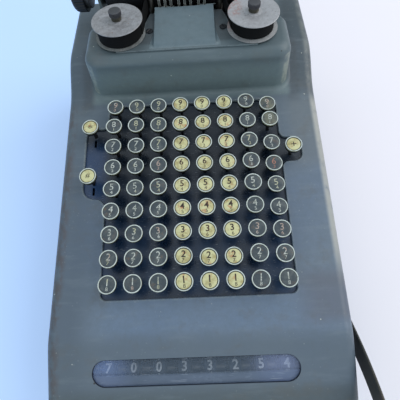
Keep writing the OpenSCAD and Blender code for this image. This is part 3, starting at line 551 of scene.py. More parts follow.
def arm_steel():
    """Dark, oiled flat bar, browner towards its end, with its edges rubbed to tan."""
    f = Finish("arm_steel")
    grain = f.noise(6, 5, 0.7, (1, 1, 2))
    f.colour = f.mix(grain, (40, 46, 48), (66, 66, 64))
    f.over((84, 72, 62), f.along("Y", -150, -200), f.cloud(14, 0.3, 0.6, 4, 0.7), 0.7)
    f.over((150, 138, 120), f.edges(0.6, 0.2), 0.8)
    f.bump(grain, 0.3, 0.05)
    return f.done(Roughness=0.5, Metallic=0.3)


def dark_solid(name, tone, roughness, grain_mm, bump, dust):
    """Rubber or moulded plastic under pale dust."""
    f = Finish(name)
    powder = f.cloud(4, 0.55, 0.75, 6, 0.75)
    f.colour = f.mix(f.product(powder, dust), tone, (105, 103, 100))
    f.bump(f.noise(grain_mm), bump, 0.08)
    return f.done(Roughness=f.mix(powder, roughness, roughness + 0.25), Specular_IOR_Level=0.35)


def ribbon_cloth():
    """Fine inked weave."""
    f = Finish("inked_ribbon")
    weave = f.product(f.noise(0.5, 2, 0.5, (1, 1, 3)), f.noise(0.5, 2, 0.5, (3, 3, 1)))
    f.colour = f.mix(weave, (10, 11, 13), (28, 29, 31))
    f.bump(weave, 0.5, 0.06)
    return f.done(Roughness=0.85, Specular_IOR_Level=0.15)


def key_disc(name, base, stain, tint, aged, amount, rust):
    """Disc under a clear top: cloudy and rusty patches, yellowed at the upper right."""
    f = Finish(name)
    f.colour = f.mix(f.product(f.cloud(7, 0.42, 0.68, 5, 0.7), amount), base, stain)
    spot = f.cloud(5, 0.52, 0.68, 5, 0.7, shift=(4, 8, 0))
    f.over(tint, spot, f.cloud(30, 0.4, 0.6, 2, 0.5, shift=(11, 3, 0)), rust)
    f.over(aged, f.within("X", 58, 78), f.within("Y", 20, 60), f.cloud(7, 0.3, 0.6, 3), 0.75)
    f.bump(f.noise(2, 3), 0.1, 0.03)
    return f.done(Roughness=0.35, Specular_IOR_Level=0.5, Coat_Weight=0.3, Coat_Roughness=0.2)


def key_rim():
    """Matte pale rim of a key, dirty in places, with painted shade in dark yellow down its side."""
    f = Finish("key_rim")
    f.colour = f.mix(f.cloud(6, 0.35, 0.7, 5, 0.7), (212, 220, 218), (184, 191, 184))
    f.over((118, 114, 90), f.cloud(3, 0.56, 0.7, 5, 0.75, shift=(2, 5, 0)), 0.7)
    # Painted shade: the rim's side darkened to a dark yellow
    f.over((112, 112, 70), f.facing_up(0.6, 0.2), 0.75)
    f.bump(f.noise(1.2), 0.2, 0.04)
    return f.done(Roughness=0.5, Specular_IOR_Level=0.4)


def print_ink(name, tone, worn, tinted, aged):
    """Ink of the figures, worn in places, yellowed on some keys and reddened on a few."""
    f = Finish(name)
    f.colour = f.mix(f.cloud(1.6, 0.4, 0.62, 4, 0.7), tone, worn)
    f.over(tinted, f.cloud(26, 0.6, 0.64, 1, 0.3, shift=(8, 9, 0)), 0.5)
    f.over(aged, f.cloud(22, 0.56, 0.6, 1, 0.3, shift=(1, 2, 7)), 0.45)
    f.over(tinted, f.within("X", 60, 76), f.within("Y", -18, -3))
    return f.done(Roughness=0.5)


def clear_sheet():
    """Window sheet: clear near its upper edge, hazy along the lower half and at both ends, where a bluish
    tint is painted reflection of the sky.
    """
    f = Finish("window_sheet")
    cloud = f.cloud(14, 0.35, 0.7, 5, 0.7, (0.5, 1.5, 1))
    left = f.along("X", -44, -70)
    right = f.along("X", 30, 58)
    low = f.along("Y", -161.5, -165.5)
    # Haze over the ends and lower half, tinted bluish as a painted reflection of the sky
    f.colour = f.mix(left, (96, 111, 128), (143, 167, 216))
    f.over((159, 173, 212), right)
    f.over(f.mix(f.math("MAXIMUM", left, right), (86, 100, 120), (94, 109, 140)), low)
    f.over((116, 130, 152), cloud, 0.35)
    f.over((170, 180, 196), f.cloud(5, 0.66, 0.7, 3, 0.5, (0.3, 6, 1)), 0.5)
    share = f.math("MAXIMUM", f.product(low, 0.9), 0.32)
    return f.done(Roughness=f.mix(cloud, 0.12, 0.3), Alpha=share, Specular_IOR_Level=0.5)


PAINT = case_paint()
# The plate's darker base tone is partly grime and partly the spools' painted shadow
PLATE_PAINT = cover_paint("plate_paint", (70, 79, 84), (82, 92, 97), 84, 0.45)
HOOD_PAINT = cover_paint("hood_paint", (91, 108, 116), (99, 115, 123), 60, 0.15)
ENAMEL = dark_enamel()
RIM = key_rim()
BARE = steel("bare_steel", (150, 146, 140), 0.35, 0.4)
DULL = steel("dull_steel", (92, 90, 88), 0.3, 0.5)
NUT = steel("nut_steel", (102, 102, 106), 0.12, 0.45)
NECK = steel("nut_neck", (96, 94, 86), 0.1, 0.5)
PLATED = plated("plated_steel", (130, 129, 131), (164, 165, 170), 0.6)
FLANGE = plated("stained_flange", (100, 104, 104), (136, 138, 138), 0.35)
BRASS = steel("brass_bush", (172, 142, 84), 0.1, 0.4)
RUBBER = dark_solid("black_rubber", (30, 31, 34), 0.62, 1.0, 0.2, 0.25)
MOULDING = dark_solid("black_moulding", (12, 17, 25), 0.42, 2.0, 0.1, 0.08)
STEMS = dark_solid("black_stems", (14, 15, 18), 0.5, 1.0, 0.1, 0.2)
GROOVE = dark_solid("rim_groove", (48, 48, 38), 0.6, 1.0, 0.1, 0.3)
DIAL = dark_solid("dial_black", (46, 58, 74), 0.5, 1.0, 0.1, 0.1)
CLOTH = ribbon_cloth()
TYPE = type_steel()
ARM = arm_steel()
DARK_DISC = key_disc("dark_disc", (50, 61, 68), (92, 98, 98), (110, 86, 64), (112, 112, 92), 0.65, 0.6)
CREAM_DISC = key_disc("cream_disc", (206, 203, 154), (160, 146, 92), (180, 100, 58), (196, 186, 120), 0.9, 1)
LIGHT_INK = print_ink("light_figures", (202, 206, 200), (136, 140, 130), (162, 112, 94), (180, 174, 118))
DARK_INK = print_ink("dark_figures", (32, 24, 22), (72, 48, 34), (80, 38, 26), (40, 32, 26))
WHITE_INK = print_ink("white_figures", (244, 247, 250), (200, 208, 218), (222, 228, 236), (222, 228, 236))
SHEET = clear_sheet()


# The case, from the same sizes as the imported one

shell_low, shell_high = box_mm("case_shell")[:2]
case_half = shell_high.x
front_y = shell_low.y
rear_y = shell_high.y
foot_h = shell_low.z
hump_z = shell_high.z
wall = 2.0
corner_r = 9.0
edge_r = 8.0
panel_run = 49.4
panel_slope = 24.0
deck_slope = 8.7
crease_y = front_y + panel_run
crease_z = 77.4
shoulder_z = 127.0
hump_y0 = crease_y + 213.6
hump_y1 = hump_y0 + 52
hump_half = 89.0
hump_edge_r = 8.0
hump_corner_r = 12.0
hump_draft = 2.0
hump_foot = 4.0
rise_y = hump_y0 - 3
rise_run = 49.0
crease_soft = 7.0


def deck_z(y):
    return crease_z + (y - crease_y) * tan(deck_slope)


def panel_z(y):
    return crease_z - (crease_y - y) * tan(panel_slope)


def top_z(y):
    """Height of the case along its middle: panel, crease, deck, rise and shoulders."""
    if y < crease_y - crease_soft:
        return panel_z(y)
    if y < crease_y + crease_soft:
        t = abs(y - crease_y) / crease_soft
        bend = tan(panel_slope) - tan(deck_slope)
        return min(deck_z(y), panel_z(y)) - bend * crease_soft * (1 - t) ** 2 / 4
    if y < rise_y:
        return deck_z(y)
    if y < rise_y + rise_run:
        t = (y - rise_y) / rise_run
        ease = t * t * (3 - 2 * t)
        lift = tan(deck_slope) * rise_run * t * (1 - t) ** 2
        return deck_z(rise_y) * (1 - ease) + shoulder_z * ease + lift
    return shoulder_z


def drop(d, r):
    """Fall of the rounded rim at a distance d in from the edge."""
    return 0.0 if d >= r else r - math.sqrt(max(0.0, r * r - (r - d) ** 2))


def case_stations():
    """Places along the straight sides, close together where the profile bends."""
    bend = [crease_y + crease_soft * k / 4 for k in range(-4, 5)]
    climb = [rise_y + rise_run * k / 20 for k in range(21)]
    return bend + climb


def case_outline(d, steps=8):
    """Left half of the plan outline at a distance d in from the edge, from front to rear."""
    r = corner_r - d
    x = case_half - corner_r
    arc = [spoke(r, 90 * k / steps) for k in range(steps + 1)]
    front = [(-x - b, front_y + corner_r - a) for a, b in arc]
    rear = [(-x - a, rear_y - corner_r + b) for a, b in arc]
    return front + [(-case_half + d, y) for y in case_stations()] + rear


def case_solid(thick, z0):
    """Closed body of the case, drawn in by a wall's thickness."""
    r = edge_r - thick / 2
    levels = [r * (1 - cos(90 * k / 9)) for k in range(9, -1, -1)]
    rings = []
    for d in levels:
        left = case_outline(d + thick)
        ring = [(x, y, top_z(y) - thick - drop(d, r)) for x, y in left]
        rings.append(ring + [(-x, y, z) for x, y, z in reversed(ring)])
    rings.append([(x, y, z0) for x, y, z in rings[-1]])
    n = len(rings[0])
    shape = Shape()
    faces = skin(len(rings), n)
    last = (len(rings) - 1) * n
    for start, flip in ((0, False), (last, True)):
        for i in range(n // 2 - 1):
            face = [start + i, start + i + 1, start + n - 2 - i, start + n - 1 - i]
            faces.append(face[::-1] if flip else face)
    shape.add([p for ring in rings for p in ring], faces)
    return shape.make("case_body", [PAINT])


def hump_outline(off):
    """Plan of the spool housing moved outwards, counter-clockwise, with stations along its sides."""
    r = hump_corner_r + off * 0.6
    hw = hump_half + off
    y0 = hump_y0 - off
    y1 = hump_y1 + off
    arc = 8
    outline = []
    x, low, high = hw - r, y0 + r, y1 - r
    for cx, cy, start in ((x, high, 0), (-x, high, 90), (-x, low, 180), (x, low, 270)):
        turns = [spoke(r, start + 90 * k / arc) for k in range(arc + 1)]
        outline += [(cx + a, cy + b) for a, b in turns]
        span = [(high - low) * 0.1 * k for k in range(1, 10)]
        if start == 90:
            outline += [(-hw, high - t) for t in span]
        if start == 270:
            outline += [(hw, low + t) for t in span]
    return outline


def hump_solid(thick):
    """Closed body of the spool housing, drawn in by a wall's thickness, with a flared foot outside."""
    rings = []
    r = hump_edge_r - thick / 2
    top = hump_z - thick
    for k in range(9, -1, -1):
        a = 90 * k / 9
        z = top - r + r * sin(a)
        off = -thick - r * (1 - cos(a)) + (hump_z - z) * tan(hump_draft)
        rings.append([(x, y, z) for x, y in hump_outline(off)])
    if thick:
        rings.append([(x, y, top_z(y) - 12) for x, y in hump_outline(-thick + 1.2)])
    else:
        for a in (90, 70, 50, 35, 20, 8, 0):
            lean = (hump_z - top_z(hump_y0)) * tan(hump_draft)
            off = hump_foot * (1 - sin(a)) + lean * 0.9
            rings.append([(x, y, top_z(y) + hump_foot * (1 - cos(a)) - 0.04) for x, y in hump_outline(off)])
        rings.append([(x, y, top_z(y) - 1.5) for x, y in hump_outline(hump_foot + 1.6)])
    return solid("hump_body", rings)


# Places on the keyboard and on the front panel

SQUARE = ((-1, -1), (1, -1), (1, 1), (-1, 1))
key_x = 1.0
key_pitch = 19.05
key_rise = 15.0
key_y = crease_y + 113.6
key_z = deck_z(key_y) + key_rise / cos(deck_slope)
DECK = move(0, key_y, key_z) @ turn(deck_slope, "X")
PANEL = move(0, crease_y, crease_z) @ turn(panel_slope, "X")
KEY_R = 7.0
opening_half_w = 3.5 * key_pitch + KEY_R + 2.1
opening_half_l = 4 * key_pitch + KEY_R + 3.3
lobe_reach = 94.6
left_lobe = (-3.0, 64.0)
right_lobe = (23.5, 46.5)
window_x = -3.1
window_w = 152.7
window_h = 19.3
window_drop = 22.1
waist_y = hump_y0 + 28


def opening_outline():
    right = key_x + opening_half_w
    left = key_x - opening_half_w
    return rounded([
        (right, -opening_half_l, 5), (right, right_lobe[0], 6), (lobe_reach, right_lobe[0], 7),
        (lobe_reach, right_lobe[1], 7), (right, right_lobe[1], 6), (right, opening_half_l, 5),
        (left, opening_half_l, 5), (left, left_lobe[1], 6), (-lobe_reach, left_lobe[1], 7),
        (-lobe_reach, left_lobe[0], 10.5), (left, left_lobe[0], 9.2), (left, -opening_half_l, 5),
    ], 8)


def mouth(outline, top, lip, at, above=6, depth=9):
    """Cutter with a flared mouth, so that the rim of the hole is rounded."""
    rings = [[(x, y, top + above) for x, y in inset(outline, -lip)]]
    for a in (80, 60, 40, 20, 0):
        ring = inset(outline, -lip * (1 - cos(a)))
        rings.append([(x, y, top - lip + lip * sin(a)) for x, y in ring])
    rings.append([(x, y, top - depth) for x, y in outline])
    return solid("mouth", rings, at)


def well_outline():
    """Plan of the opening behind the cover's waist, for the type bars and the platen."""
    y = waist_y
    step_y = hump_y1 + 13
    right = [(37, y + 9), (37, y), (42, y), (62, y + 20), (62, step_y), (74, step_y), (74, rear_y - 19)]
    return right + [(-x, y) for x, y in reversed(right)]


def make_case():
    case = case_solid(0, foot_h)
    carve(case, hump_solid(0), "UNION")
    inner = case_solid(wall, foot_h - 1)
    carve(inner, hump_solid(wall), "UNION")
    carve(case, inner)
    carve(case, mouth(opening_outline(), -key_rise, 0.9, DECK))
    reach, rise = window_w / 2, window_h / 2
    slot = rounded([(window_x + a * reach, b * rise - window_drop, rise - 0.05) for a, b in SQUARE], 12)
    carve(case, mouth(slot, 0, 0.5, PANEL))
    well = [[(x, y, z) for x, y in well_outline()] for z in (hump_z + 12, shoulder_z - 14)]
    carve(case, solid("well", well))

    # Slots in the shoulders, where the side frames come up to carry the platen
    slots = Shape()
    frame_x = box_mm("right_side_frame")[2][0]
    y = box_mm("platen")[0].y + 16.5
    half_t, half_w, half_h = 1.7, 12, 6
    for x in (-frame_x, frame_x):
        low = (x - half_t, y - half_w, shoulder_z - half_h)
        slots.block(low, (x + half_t, y + half_w, shoulder_z + half_h))
    carve(case, slots.make("slots", [PAINT]))
    case.name = "case_shell_painted"
    shade_again(case, 32)
    place(case, "machine", "case_paint", "case_shell")


make_case()


# Keys: bright rim, disc with a printed figure and a small complement, flat stem

# Heads out of line, by column and row: to the right, to the rear, and down with the stem
MOVED_HEADS = {
    (8, 1): (0.4, -0.4, 0), (8, 2): (0, -1.1, 0), (8, 3): (0, -1.1, 1.5), (8, 4): (0, -1.3, 4),
    (8, 5): (0, -1.1, 4), (8, 6): (0, -1.6, 4), (8, 7): (0, -1.3, 4), (8, 9): (0, -1.1, 4),
    (7, 1): (-0.6, -0.6, 0), (5, 2): (0, -1.1, 3), (6, 2): (0, -1.1, 3), (1, 7): (-0.5, 0.3, 0),
    (1, 8): (-0.6, 0.8, 0), (2, 8): (-0.4, 0.7, 0), (1, 9): (0, 0.6, 0),
}
HEAD_TWIST = 7
STEM_LONG = 51
SIGN_STEM_LONG = 26

# Height, share of width, place up the disc and level of the figures on the keys and dials
NUMBER = (5.3, 1.0, 1.55, -0.36)
COMPLEMENT = (2.7, 1.1, -3.25, -0.36)
SIGN = (4.0, 1.1, 0, -0.34)
DIAL_NUMBER = (7.2, 0.95, 0, 0.02)

# Generic signs, and how far up the deck their keys stand
SIGN_KEYS = (("upper_left_key", "*", 58.3), ("lower_left_key", "#", 12.3), ("right_key", "+", 31.7))


def key_body(shape, at, cream):
    """One key's head about the middle of its top. Materials: 0 rim, 1 disc, 2 skirt and stem, 3 groove."""
    r = 5.5 if cream else 5.9
    rim = [(6.9, -1.6), (KEY_R, -0.5), (6.92, -0.14), (6.65, 0.0), (6.35, -0.04), (6.15, -0.25), (6.15, -1.6)]
    skirt = [(6.8, -1.5), (5.95, -1.5), (6.1, -3.4), (5.6, -4.9), (6.0, -5.0), (6.6, -4.4), (6.85, -3.2)]
    shape.tube(rim, 0, at, 40)
    # The skirt takes the black stem material as painted shade under the rim
    shape.tube(skirt, 2, at, 40)
    shape.tube([(6.16, -0.62), (6.16, -1.2), (r - 0.05, -1.2), (r - 0.05, -0.66)], 3, at, 40)
    disc = [(POLE, -0.4), (r * 0.7, -0.42), (r * 0.93, -0.48), (r, -0.58), (r, -2.4), (POLE, -2.4)]
    shape.lathe(disc, 1, at, 40)
    shape.lathe([(POLE, -2.3), (5.3, -2.3), (5.7, -4.8), (3.0, -5.4), (POLE, -5.4)], 2, at, 24)


def key_stem(shape, at, long):
    """Flat stem under a key's head."""
    shape.block((-0.8, -1.6, -5 - long), (0.8, 1.6, -5), 2, at, 0.15)


INK_T = 0.12
glyphs = {}


def glyph(text, bold):
    """Flat mesh of one figure, one unit tall and centred."""
    if (text, bold) not in glyphs:
        curve = bpy.data.curves.new("figure", "FONT")
        curve.body = text
        curve.offset = bold
        curve.resolution_u = 3
        holder = new_object("figure", curve)
        bpy.context.view_layer.update()
        graph = bpy.context.evaluated_depsgraph_get()
        mesh = bpy.data.meshes.new_from_object(holder.evaluated_get(graph))
        points = [v.co.copy() for v in mesh.vertices]
        faces = [list(p.vertices) for p in mesh.polygons]
        bpy.data.objects.remove(holder)
        bpy.data.curves.remove(curve)
        bpy.data.meshes.remove(mesh)
        xs, ys = ([p[axis] for p in points] for axis in (0, 1))
        tall = max(ys) - min(ys)
        middle = Vector(((max(xs) + min(xs)) / 2, (max(ys) + min(ys)) / 2, 0))
        glyphs[text, bold] = ([(p - middle) / tall for p in points], faces)
    return glyphs[text, bold]


def draw_figure(shape, text, form, at, number, bold=0.0):
    """A printed figure: thin raised ink with its sides closed."""
    height, wide, y, z = form
    points, faces = glyph(text, bold)
    top = [(p.x * height * wide, p.y * height + y, z) for p in points]
    low = [(a, b, z - INK_T) for a, b, _ in top]
    n = len(top)
    edges = dict.fromkeys((a, b) for face in faces for a, b in zip(face, face[1:] + face[:1]))
    sides = [[b, a, a + n, b + n] for a, b in edges if (b, a) not in edges]
    shape.add(top + low, faces + [[i + n for i in reversed(f)] for f in faces] + sides, number, at)


def make_keys():
    for col in range(1, 9):
        cream = 4 <= col <= 6
        shape = Shape()
        for row in range(1, 10):
            x = key_x + (col - 4.5) * key_pitch
            right, back, down = MOVED_HEADS.get((col, row), (0, 0, 0))
            at = DECK @ move(x, (row - 5) * key_pitch, -down)
            key_stem(shape, at, STEM_LONG)
            at = at @ move(right, back, 0) @ turn(random.uniform(-HEAD_TWIST, HEAD_TWIST), "Z")
            key_body(shape, at, cream)
            draw_figure(shape, str(row), NUMBER, at, 4, 0.018 if cream else 0.0)
            draw_figure(shape, str(9 - row), COMPLEMENT, at, 4)
        disc, ink = (CREAM_DISC, DARK_INK) if cream else (DARK_DISC, LIGHT_INK)
        piece = shape.make(f"number_keys_{col}", [RIM, disc, STEMS, GROOVE, ink])
        node = f"key_column_{col}"
        place(piece, node, "cream_keys" if cream else "dark_keys", node)
    for node, sign, y in SIGN_KEYS:
        at = DECK @ move(box_mm(node)[2][0], y, 0)
        shape = Shape()
        key_stem(shape, at, SIGN_STEM_LONG)
        key_body(shape, at, True)
        draw_figure(shape, sign, SIGN, at, 4)
        place(shape.make(node + "_cap", [RIM, CREAM_DISC, STEMS, GROOVE, DARK_INK]), node, "cream_keys", node)


make_keys()


# Figure dials behind the window

SHOWN = "70033254"
DIAL_R = 12.7
DIAL_WIDE = 9.0
BORE = 3.05

# Lean of the shown figures towards the reader, from straight up
FACING = -2.0


def make_dials():
    wide = DIAL_WIDE
    drum = [(DIAL_R - 0.4, 0), (DIAL_R, 0.4), (DIAL_R, wide - 0.4), (DIAL_R - 0.4, wide), (10.5, wide),
            (10.5, wide - 2), (5.2, wide - 2), (5.2, wide), (BORE, wide), (BORE, 0)]
    gear = [spoke(8.8 if k % 4 < 2 else 7, 9 * k) for k in range(39, -1, -1)]
    for i, shown in enumerate(SHOWN, 1):
        node = f"number_dial_{i}"
        high, (_, y, z) = box_mm(node)[1:]
        x = high.x - wide / 2
        shape = Shape()
        at = move(x - wide / 2, y, z) @ turn(90, "Y")
        shape.tube(drum, 0, at, 60)
        shape.slab(gear, -3, 0.01, 2, at, 0.1)
        for k in range(10):
            spin = move(x, y, z) @ turn(FACING + (k - int(shown)) * 36, "X") @ move(0, 0, DIAL_R + 0.04)
            draw_figure(shape, str(k), DIAL_NUMBER, spin, 1, 0.025)
        place(shape.make(f"figure_dial_{i}", [DIAL, WHITE_INK, DULL]), node, "dial_black", node)


make_dials()


# Ribbon cover: a plate with a pressed hood, open to the rear, and two screws

COVER_T = 1.5
HOOD_X = (-28.0, 25.0)
HOOD_Y = (hump_y0 + 9.5, hump_y0 + 57.4)
HOOD_WALL = 1.2
SCREW_X = 32


def ease(t):
    t = min(1.0, max(0.0, t))
    return t * t * (3 - 2 * t)


def hood_height(share, y):
    """Height over the plate at a share -1 to 1 of the width: a soft fold in front, then a slow rise."""
    run = (y - HOOD_Y[0]) / (HOOD_Y[1] - HOOD_Y[0])
    ear = abs(share) ** 5 * ease((run - 0.45) / 0.55)
    return 2.7 * ease((y - HOOD_Y[0]) / 5.0) + 1.4 * run + 1.0 * ear


def hood_solid(thin):
    """Closed body of the hood, drawn in by a wall's thickness."""
    middle = (HOOD_X[0] + HOOD_X[1]) / 2
    half = (HOOD_X[1] - HOOD_X[0]) / 2
    base = hump_z + COVER_T
    start, long = HOOD_Y[0], HOOD_Y[1] - HOOD_Y[0]
    rings = []
    stations = [start + 7 * k / 8 for k in range(8)] + [start + 7 + (long - 7) * k / 12 for k in range(13)]
    for y in stations:
        run = (y - start) / long
        flare = 0.5 + 3.2 * (1 - ease(run * 2.2))
        line = [(half + flare, 0.02), (half + flare * 0.45, 0.12), (half + flare * 0.1, 0.4),
                (half - 0.1, 0.7), (half - 0.35, 0.88), (half - 0.9, 0.97)]
        line += [((half - 0.9) * (1 - k / 5), 1.0) for k in range(1, 6)]
        line += [(-x, rise) for x, rise in reversed(line[:-1])]
        ring = []
        for x, rise in line:
            top = max(0.03, hood_height(x / half, y) - thin)
            ring.append((middle + x * (1 - thin / half), y, base + rise * top))
        low = base - 0.5 if not thin else base - 3
        ring += [(middle - half - flare + thin, y, low), (middle + half + flare - thin, y, low)]
        rings.append(ring)
    if thin:
        shifts = [thin] * (len(rings) - 1) + [3]
        rings = [[(x, y + shift, z) for x, y, z in ring] for shift, ring in zip(shifts, rings)]
    return solid("hood", rings, None, HOOD_PAINT, 40)


def make_cover():
    shape = Shape()
    y = hump_y0 + 7.5
    half = [(60, y, 1), (60, y + 1.5, 0.6), (41, waist_y, 4), (32.5, hump_y0 + 56, 1)]
    plate = rounded([(-60, y, 1)] + half + [(-x, y, r) for x, y, r in half[:0:-1]], 4)
    shape.slab(plate, hump_z + 0.02, hump_z + COVER_T)
    cover = shape.make("ribbon_cover_plate", [PLATE_PAINT], 40)
    carve(cover, hood_solid(HOOD_WALL))
    hood = hood_solid(0)
    carve(hood, hood_solid(HOOD_WALL))
    hood.name = "ribbon_cover_hood"
    for piece in (cover, hood):
        shade_again(piece, 40)
    place(cover, "machine", "case_paint", "ribbon_cover")
    place(hood, "machine", "case_paint")
    screws = Shape()
    y = box_mm("cover_screws")[2][1]
    for s in (-1, 1):
        at = move(s * SCREW_X, y, hump_z + COVER_T) @ turn(35 * s, "Z")
        for start in (180, 0):
            outline = [spoke(3.1, start + a) for a in range(-78, 79, 12)]
            screws.slab(outline, 0.01, 1.2, 0, at, 0.4)
        screws.lathe([(POLE, 0.5), (2.9, 0.5), (2.9, 0.0), (1.5, 0), (1.5, -9), (POLE, -9)], 0, at, 24)
    place(screws.make("cover_screw_heads", [MOULDING]), "machine", "dark_enamel", "cover_screws")


make_cover()


# Spools, ribbon and nuts

SPOOL_CORE = 7.0
NUT_X = 57


def make_spools():
    for node, roll in (("left_spool", "left_ribbon_roll"), ("right_spool", "right_ribbon_roll")):
        low, high, (x, y, _) = box_mm(node)
        r = (high.x - low.x) / 2
        tall = high.z - low.z
        at = move(x, y, low.z)
        flange = [(r - 0.35, 0.4), (r, 0.1), (r, -0.25), (r - 0.35, -0.4), (BORE, -0.4), (BORE, 0.4),
                  (6.0, 0.4), (6.6, 0.15), (7.4, 0.15), (8.0, 0.35), (r - 2.2, 0.25)]
        shape = Shape()
        for number, level, half_turn in ((1, 0.4, 180), (0, tall - 0.4, 0)):
            shape.tube(flange, number, at @ move(0, 0, level) @ turn(half_turn, "X"), 96)
        core = [(SPOOL_CORE, 0.6), (SPOOL_CORE, tall - 0.6), (BORE, tall - 0.6), (BORE, 0.6)]
        shape.tube(core, 0, at, 48)
        place(shape.make(node + "_reel", [PLATED, FLANGE], 30), node, "plated_steel", node)
        low, high = box_mm(roll)[:2]
        start = SPOOL_CORE + 0.1
        step = ((high.x - low.x) / 2 - start) / 23
        wide = high.z - low.z
        layers = [(start + step * k, 0.25 * (k % 2)) for k in range(24)]
        back = [(radius, wide - dip) for radius, dip in reversed(layers)]
        wound = Shape()
        wound.tube(layers + back + [(start, wide), (start, 0.0)], 0, move(x, y, low.z), 72)
        place(wound.make(roll + "_wound", [CLOTH]), node, "inked_ribbon", roll)


def make_nuts():
    z = box_mm("spool_nuts")[0].z
    y = box_mm("left_spool")[2][1]
    teeth = 56
    groove = [(4.3, 2.6), (3.9, 2.4), (3.9, 1.4), (4.3, 1.2)]
    neck = [(POLE, 3.6), (4.3, 3.6), *groove, (4.3, 0.3), (4, 0), (POLE, 0)]
    knurl = [spoke(5.15 - 0.35 * (k % 2), 360 * k / teeth) for k in range(teeth)]
    levels = ((0.86, 8.0), (0.94, 7.9), (1.0, 7.5), (1.0, 4.0), (0.95, 3.6), (0.8, 3.5))
    shape = Shape()
    for x in (-NUT_X, NUT_X):
        at = move(x, y, z)
        shape.lathe(neck, 1, at, 40)
        shape.rings([[(a * share, b * share, level) for a, b in knurl] for share, level in levels], 0, at)
    place(shape.make("knurled_nuts", [NUT, NECK], 30), "machine", "plated_steel", "spool_nuts")


make_spools()
make_nuts()


# Platen, knobs and type bars

def make_platen():
    low, high, (_, y, z) = box_mm("platen")
    shape = Shape()
    shape.bar(low.x, high.x, y, z, (high.z - low.z) / 2, 0, 0.6, 72)
    place(shape.make("platen_rubber", [RUBBER]), "platen", "black_rubber", "platen")
    teeth, collar, short = 108, 4.0, 2.5
    for s, node in ((-1, "left_platen_knob"), (1, "right_platen_knob")):
        low, high = box_mm(node)[:2]
        end = high.x - low.x - short
        r = (high.z - low.z) / 2
        levels = [(0.55, end), (0.75, end - 0.3), (0.88, end - 1.2), (0.96, end - 2.6), (1.0, end - 5)]
        levels += [(1.0, collar + 0.6), (0.95, collar), (0.55, collar - 0.2), (0.5, 0.5)]
        rings = []
        for share, h in levels:
            groove = 0.9 if collar + 0.5 < h < end - 4 else 0
            radii = [r * share - groove * (i % 3 == 0) for i in range(teeth)]
            rings.append([(*spoke(radius, 360 * i / teeth), h) for i, radius in enumerate(radii)])
        at = move(low.x if s > 0 else high.x, y, z) @ turn(90 * s, "Y")
        rim = collar - 0.1
        knob = Shape()
        knob.rings(rings, 0, at)
        knob.tube([(r * 0.82, 0.4), (r * 0.82, rim), (3.0, rim), (3.0, 0), (r * 0.8, 0)], 1, at, 72)
        place(knob.make(node + "_moulded", [MOULDING, DULL], 30), "platen", "black_moulding", node)


def make_type_bars():
    for i in range(1, 9):
        node = f"type_bar_{i}"
        low, high = box_mm(node)[:2]
        shape = Shape()
        shape.block((low.x, low.y, low.z), (high.x, high.y - 0.8, high.z), 0, None, 0.2)
        for k in range(10):
            z = high.z - 2.8 - 4 * k
            shape.block((low.x + 0.2, high.y - 0.85, z), (high.x - 0.2, high.y, z + 2.4), 0, None, 0.15)
        place(shape.make(node + "_steel", [TYPE]), node, "frame_steel", node)


make_platen()
make_type_bars()


# Handle

def make_handle():
    """Flat arm that runs straight and then bends down, with its hub, pin, nut and grip."""
    end_x = box_mm("handle_arm")[1].x
    arm_x, arm_t = 120.6, 1.6
    pivot_y, pivot_z = front_y + 83, 28
    lift, straight, bend_r, length = 34.0, 45.0, 220.0, 144.0
    wide0, wide1 = 20.0, 15.0

    def lean(s):
        return lift - max(0.0, s - straight) / bend_r * 180 / math.pi

    def middle(s):
        if s <= straight:
            return Vector((-cos(lift), sin(lift))) * s
        start = Vector((-cos(lift), sin(lift))) * straight
        return start + bend_r * Vector((sin(lean(s)) - sin(lift), cos(lean(s)) - cos(lift)))

    def edge(s, side):
        half = (wide0 + (wide1 - wide0) * s / length) / 2
        return middle(s) + side * half * Vector((sin(lean(s)), cos(lean(s))))

    hub = [spoke(15, a) for a in range(-170, 91, 10)]
    top = [tuple(edge(s, 1)) for s in range(14, 145, 10)]
    tip = [tuple(middle(length) + Vector(spoke(7.5, a))) for a in range(90, 265, 15)]
    low_edge = [tuple(edge(s, -1)) for s in range(144, 12, -10)]
    shape = Shape()
    sideways = Matrix(((0, 0, 1, 0), (1, 0, 0, 0), (0, 1, 0, 0), (0, 0, 0, 1)))
    at = move(arm_x, pivot_y, pivot_z) @ sideways
    shape.slab(hub + top + tip + low_edge, 0, arm_t, 0, at, 0.35)
    y, z = pivot_y + middle(length).x, pivot_z + middle(length).y
    shape.bar(arm_x + arm_t - 0.2, end_x - 2, y, z, 3.0)
    shape.bar(end_x - 2, end_x, y, z, 5.0, 0, 0.5)
    shape.slab([spoke(9, 60 * k) for k in range(6)], arm_t, arm_t + 4.5, 1, at, 0.6)
    cap = [(POLE, 5.6), (4.2, 5.6), (5, 5.0), (5, 4.4), (POLE, 4.4)]
    shape.lathe(cap, 1, at @ move(0, 0, arm_t - 1), 32)
    place(shape.make("handle_arm_steel", [ARM, BARE]), "handle", "bare_steel", "handle_arm")
    low, high = box_mm("handle_grip")[:2]
    r, wide = 12.0, high.x - low.x
    profile = [(5.3, wide - 3.4), (5.3, wide - 0.4), (5.7, wide), (6.6, wide - 0.2)]
    for k in range(25):
        swell = 0.66 + 0.34 * sin(165 - 150 * k / 24)
        profile.append((r * swell - 0.02, wide - 1.2 - (wide - 3) * k / 24))
    profile += [(7.4, 0.3), (6.8, 0), (BORE, 0), (BORE, wide - 3.4)]
    grip = Shape()
    grip.tube(profile, 0, move(low.x, y, z) @ turn(90, "Y"), 48)
    place(grip.make("handle_grip_moulded", [MOULDING]), "grip", "black_moulding", "handle_grip")


make_handle()


# CAD nodes that keep their shape get a finish each

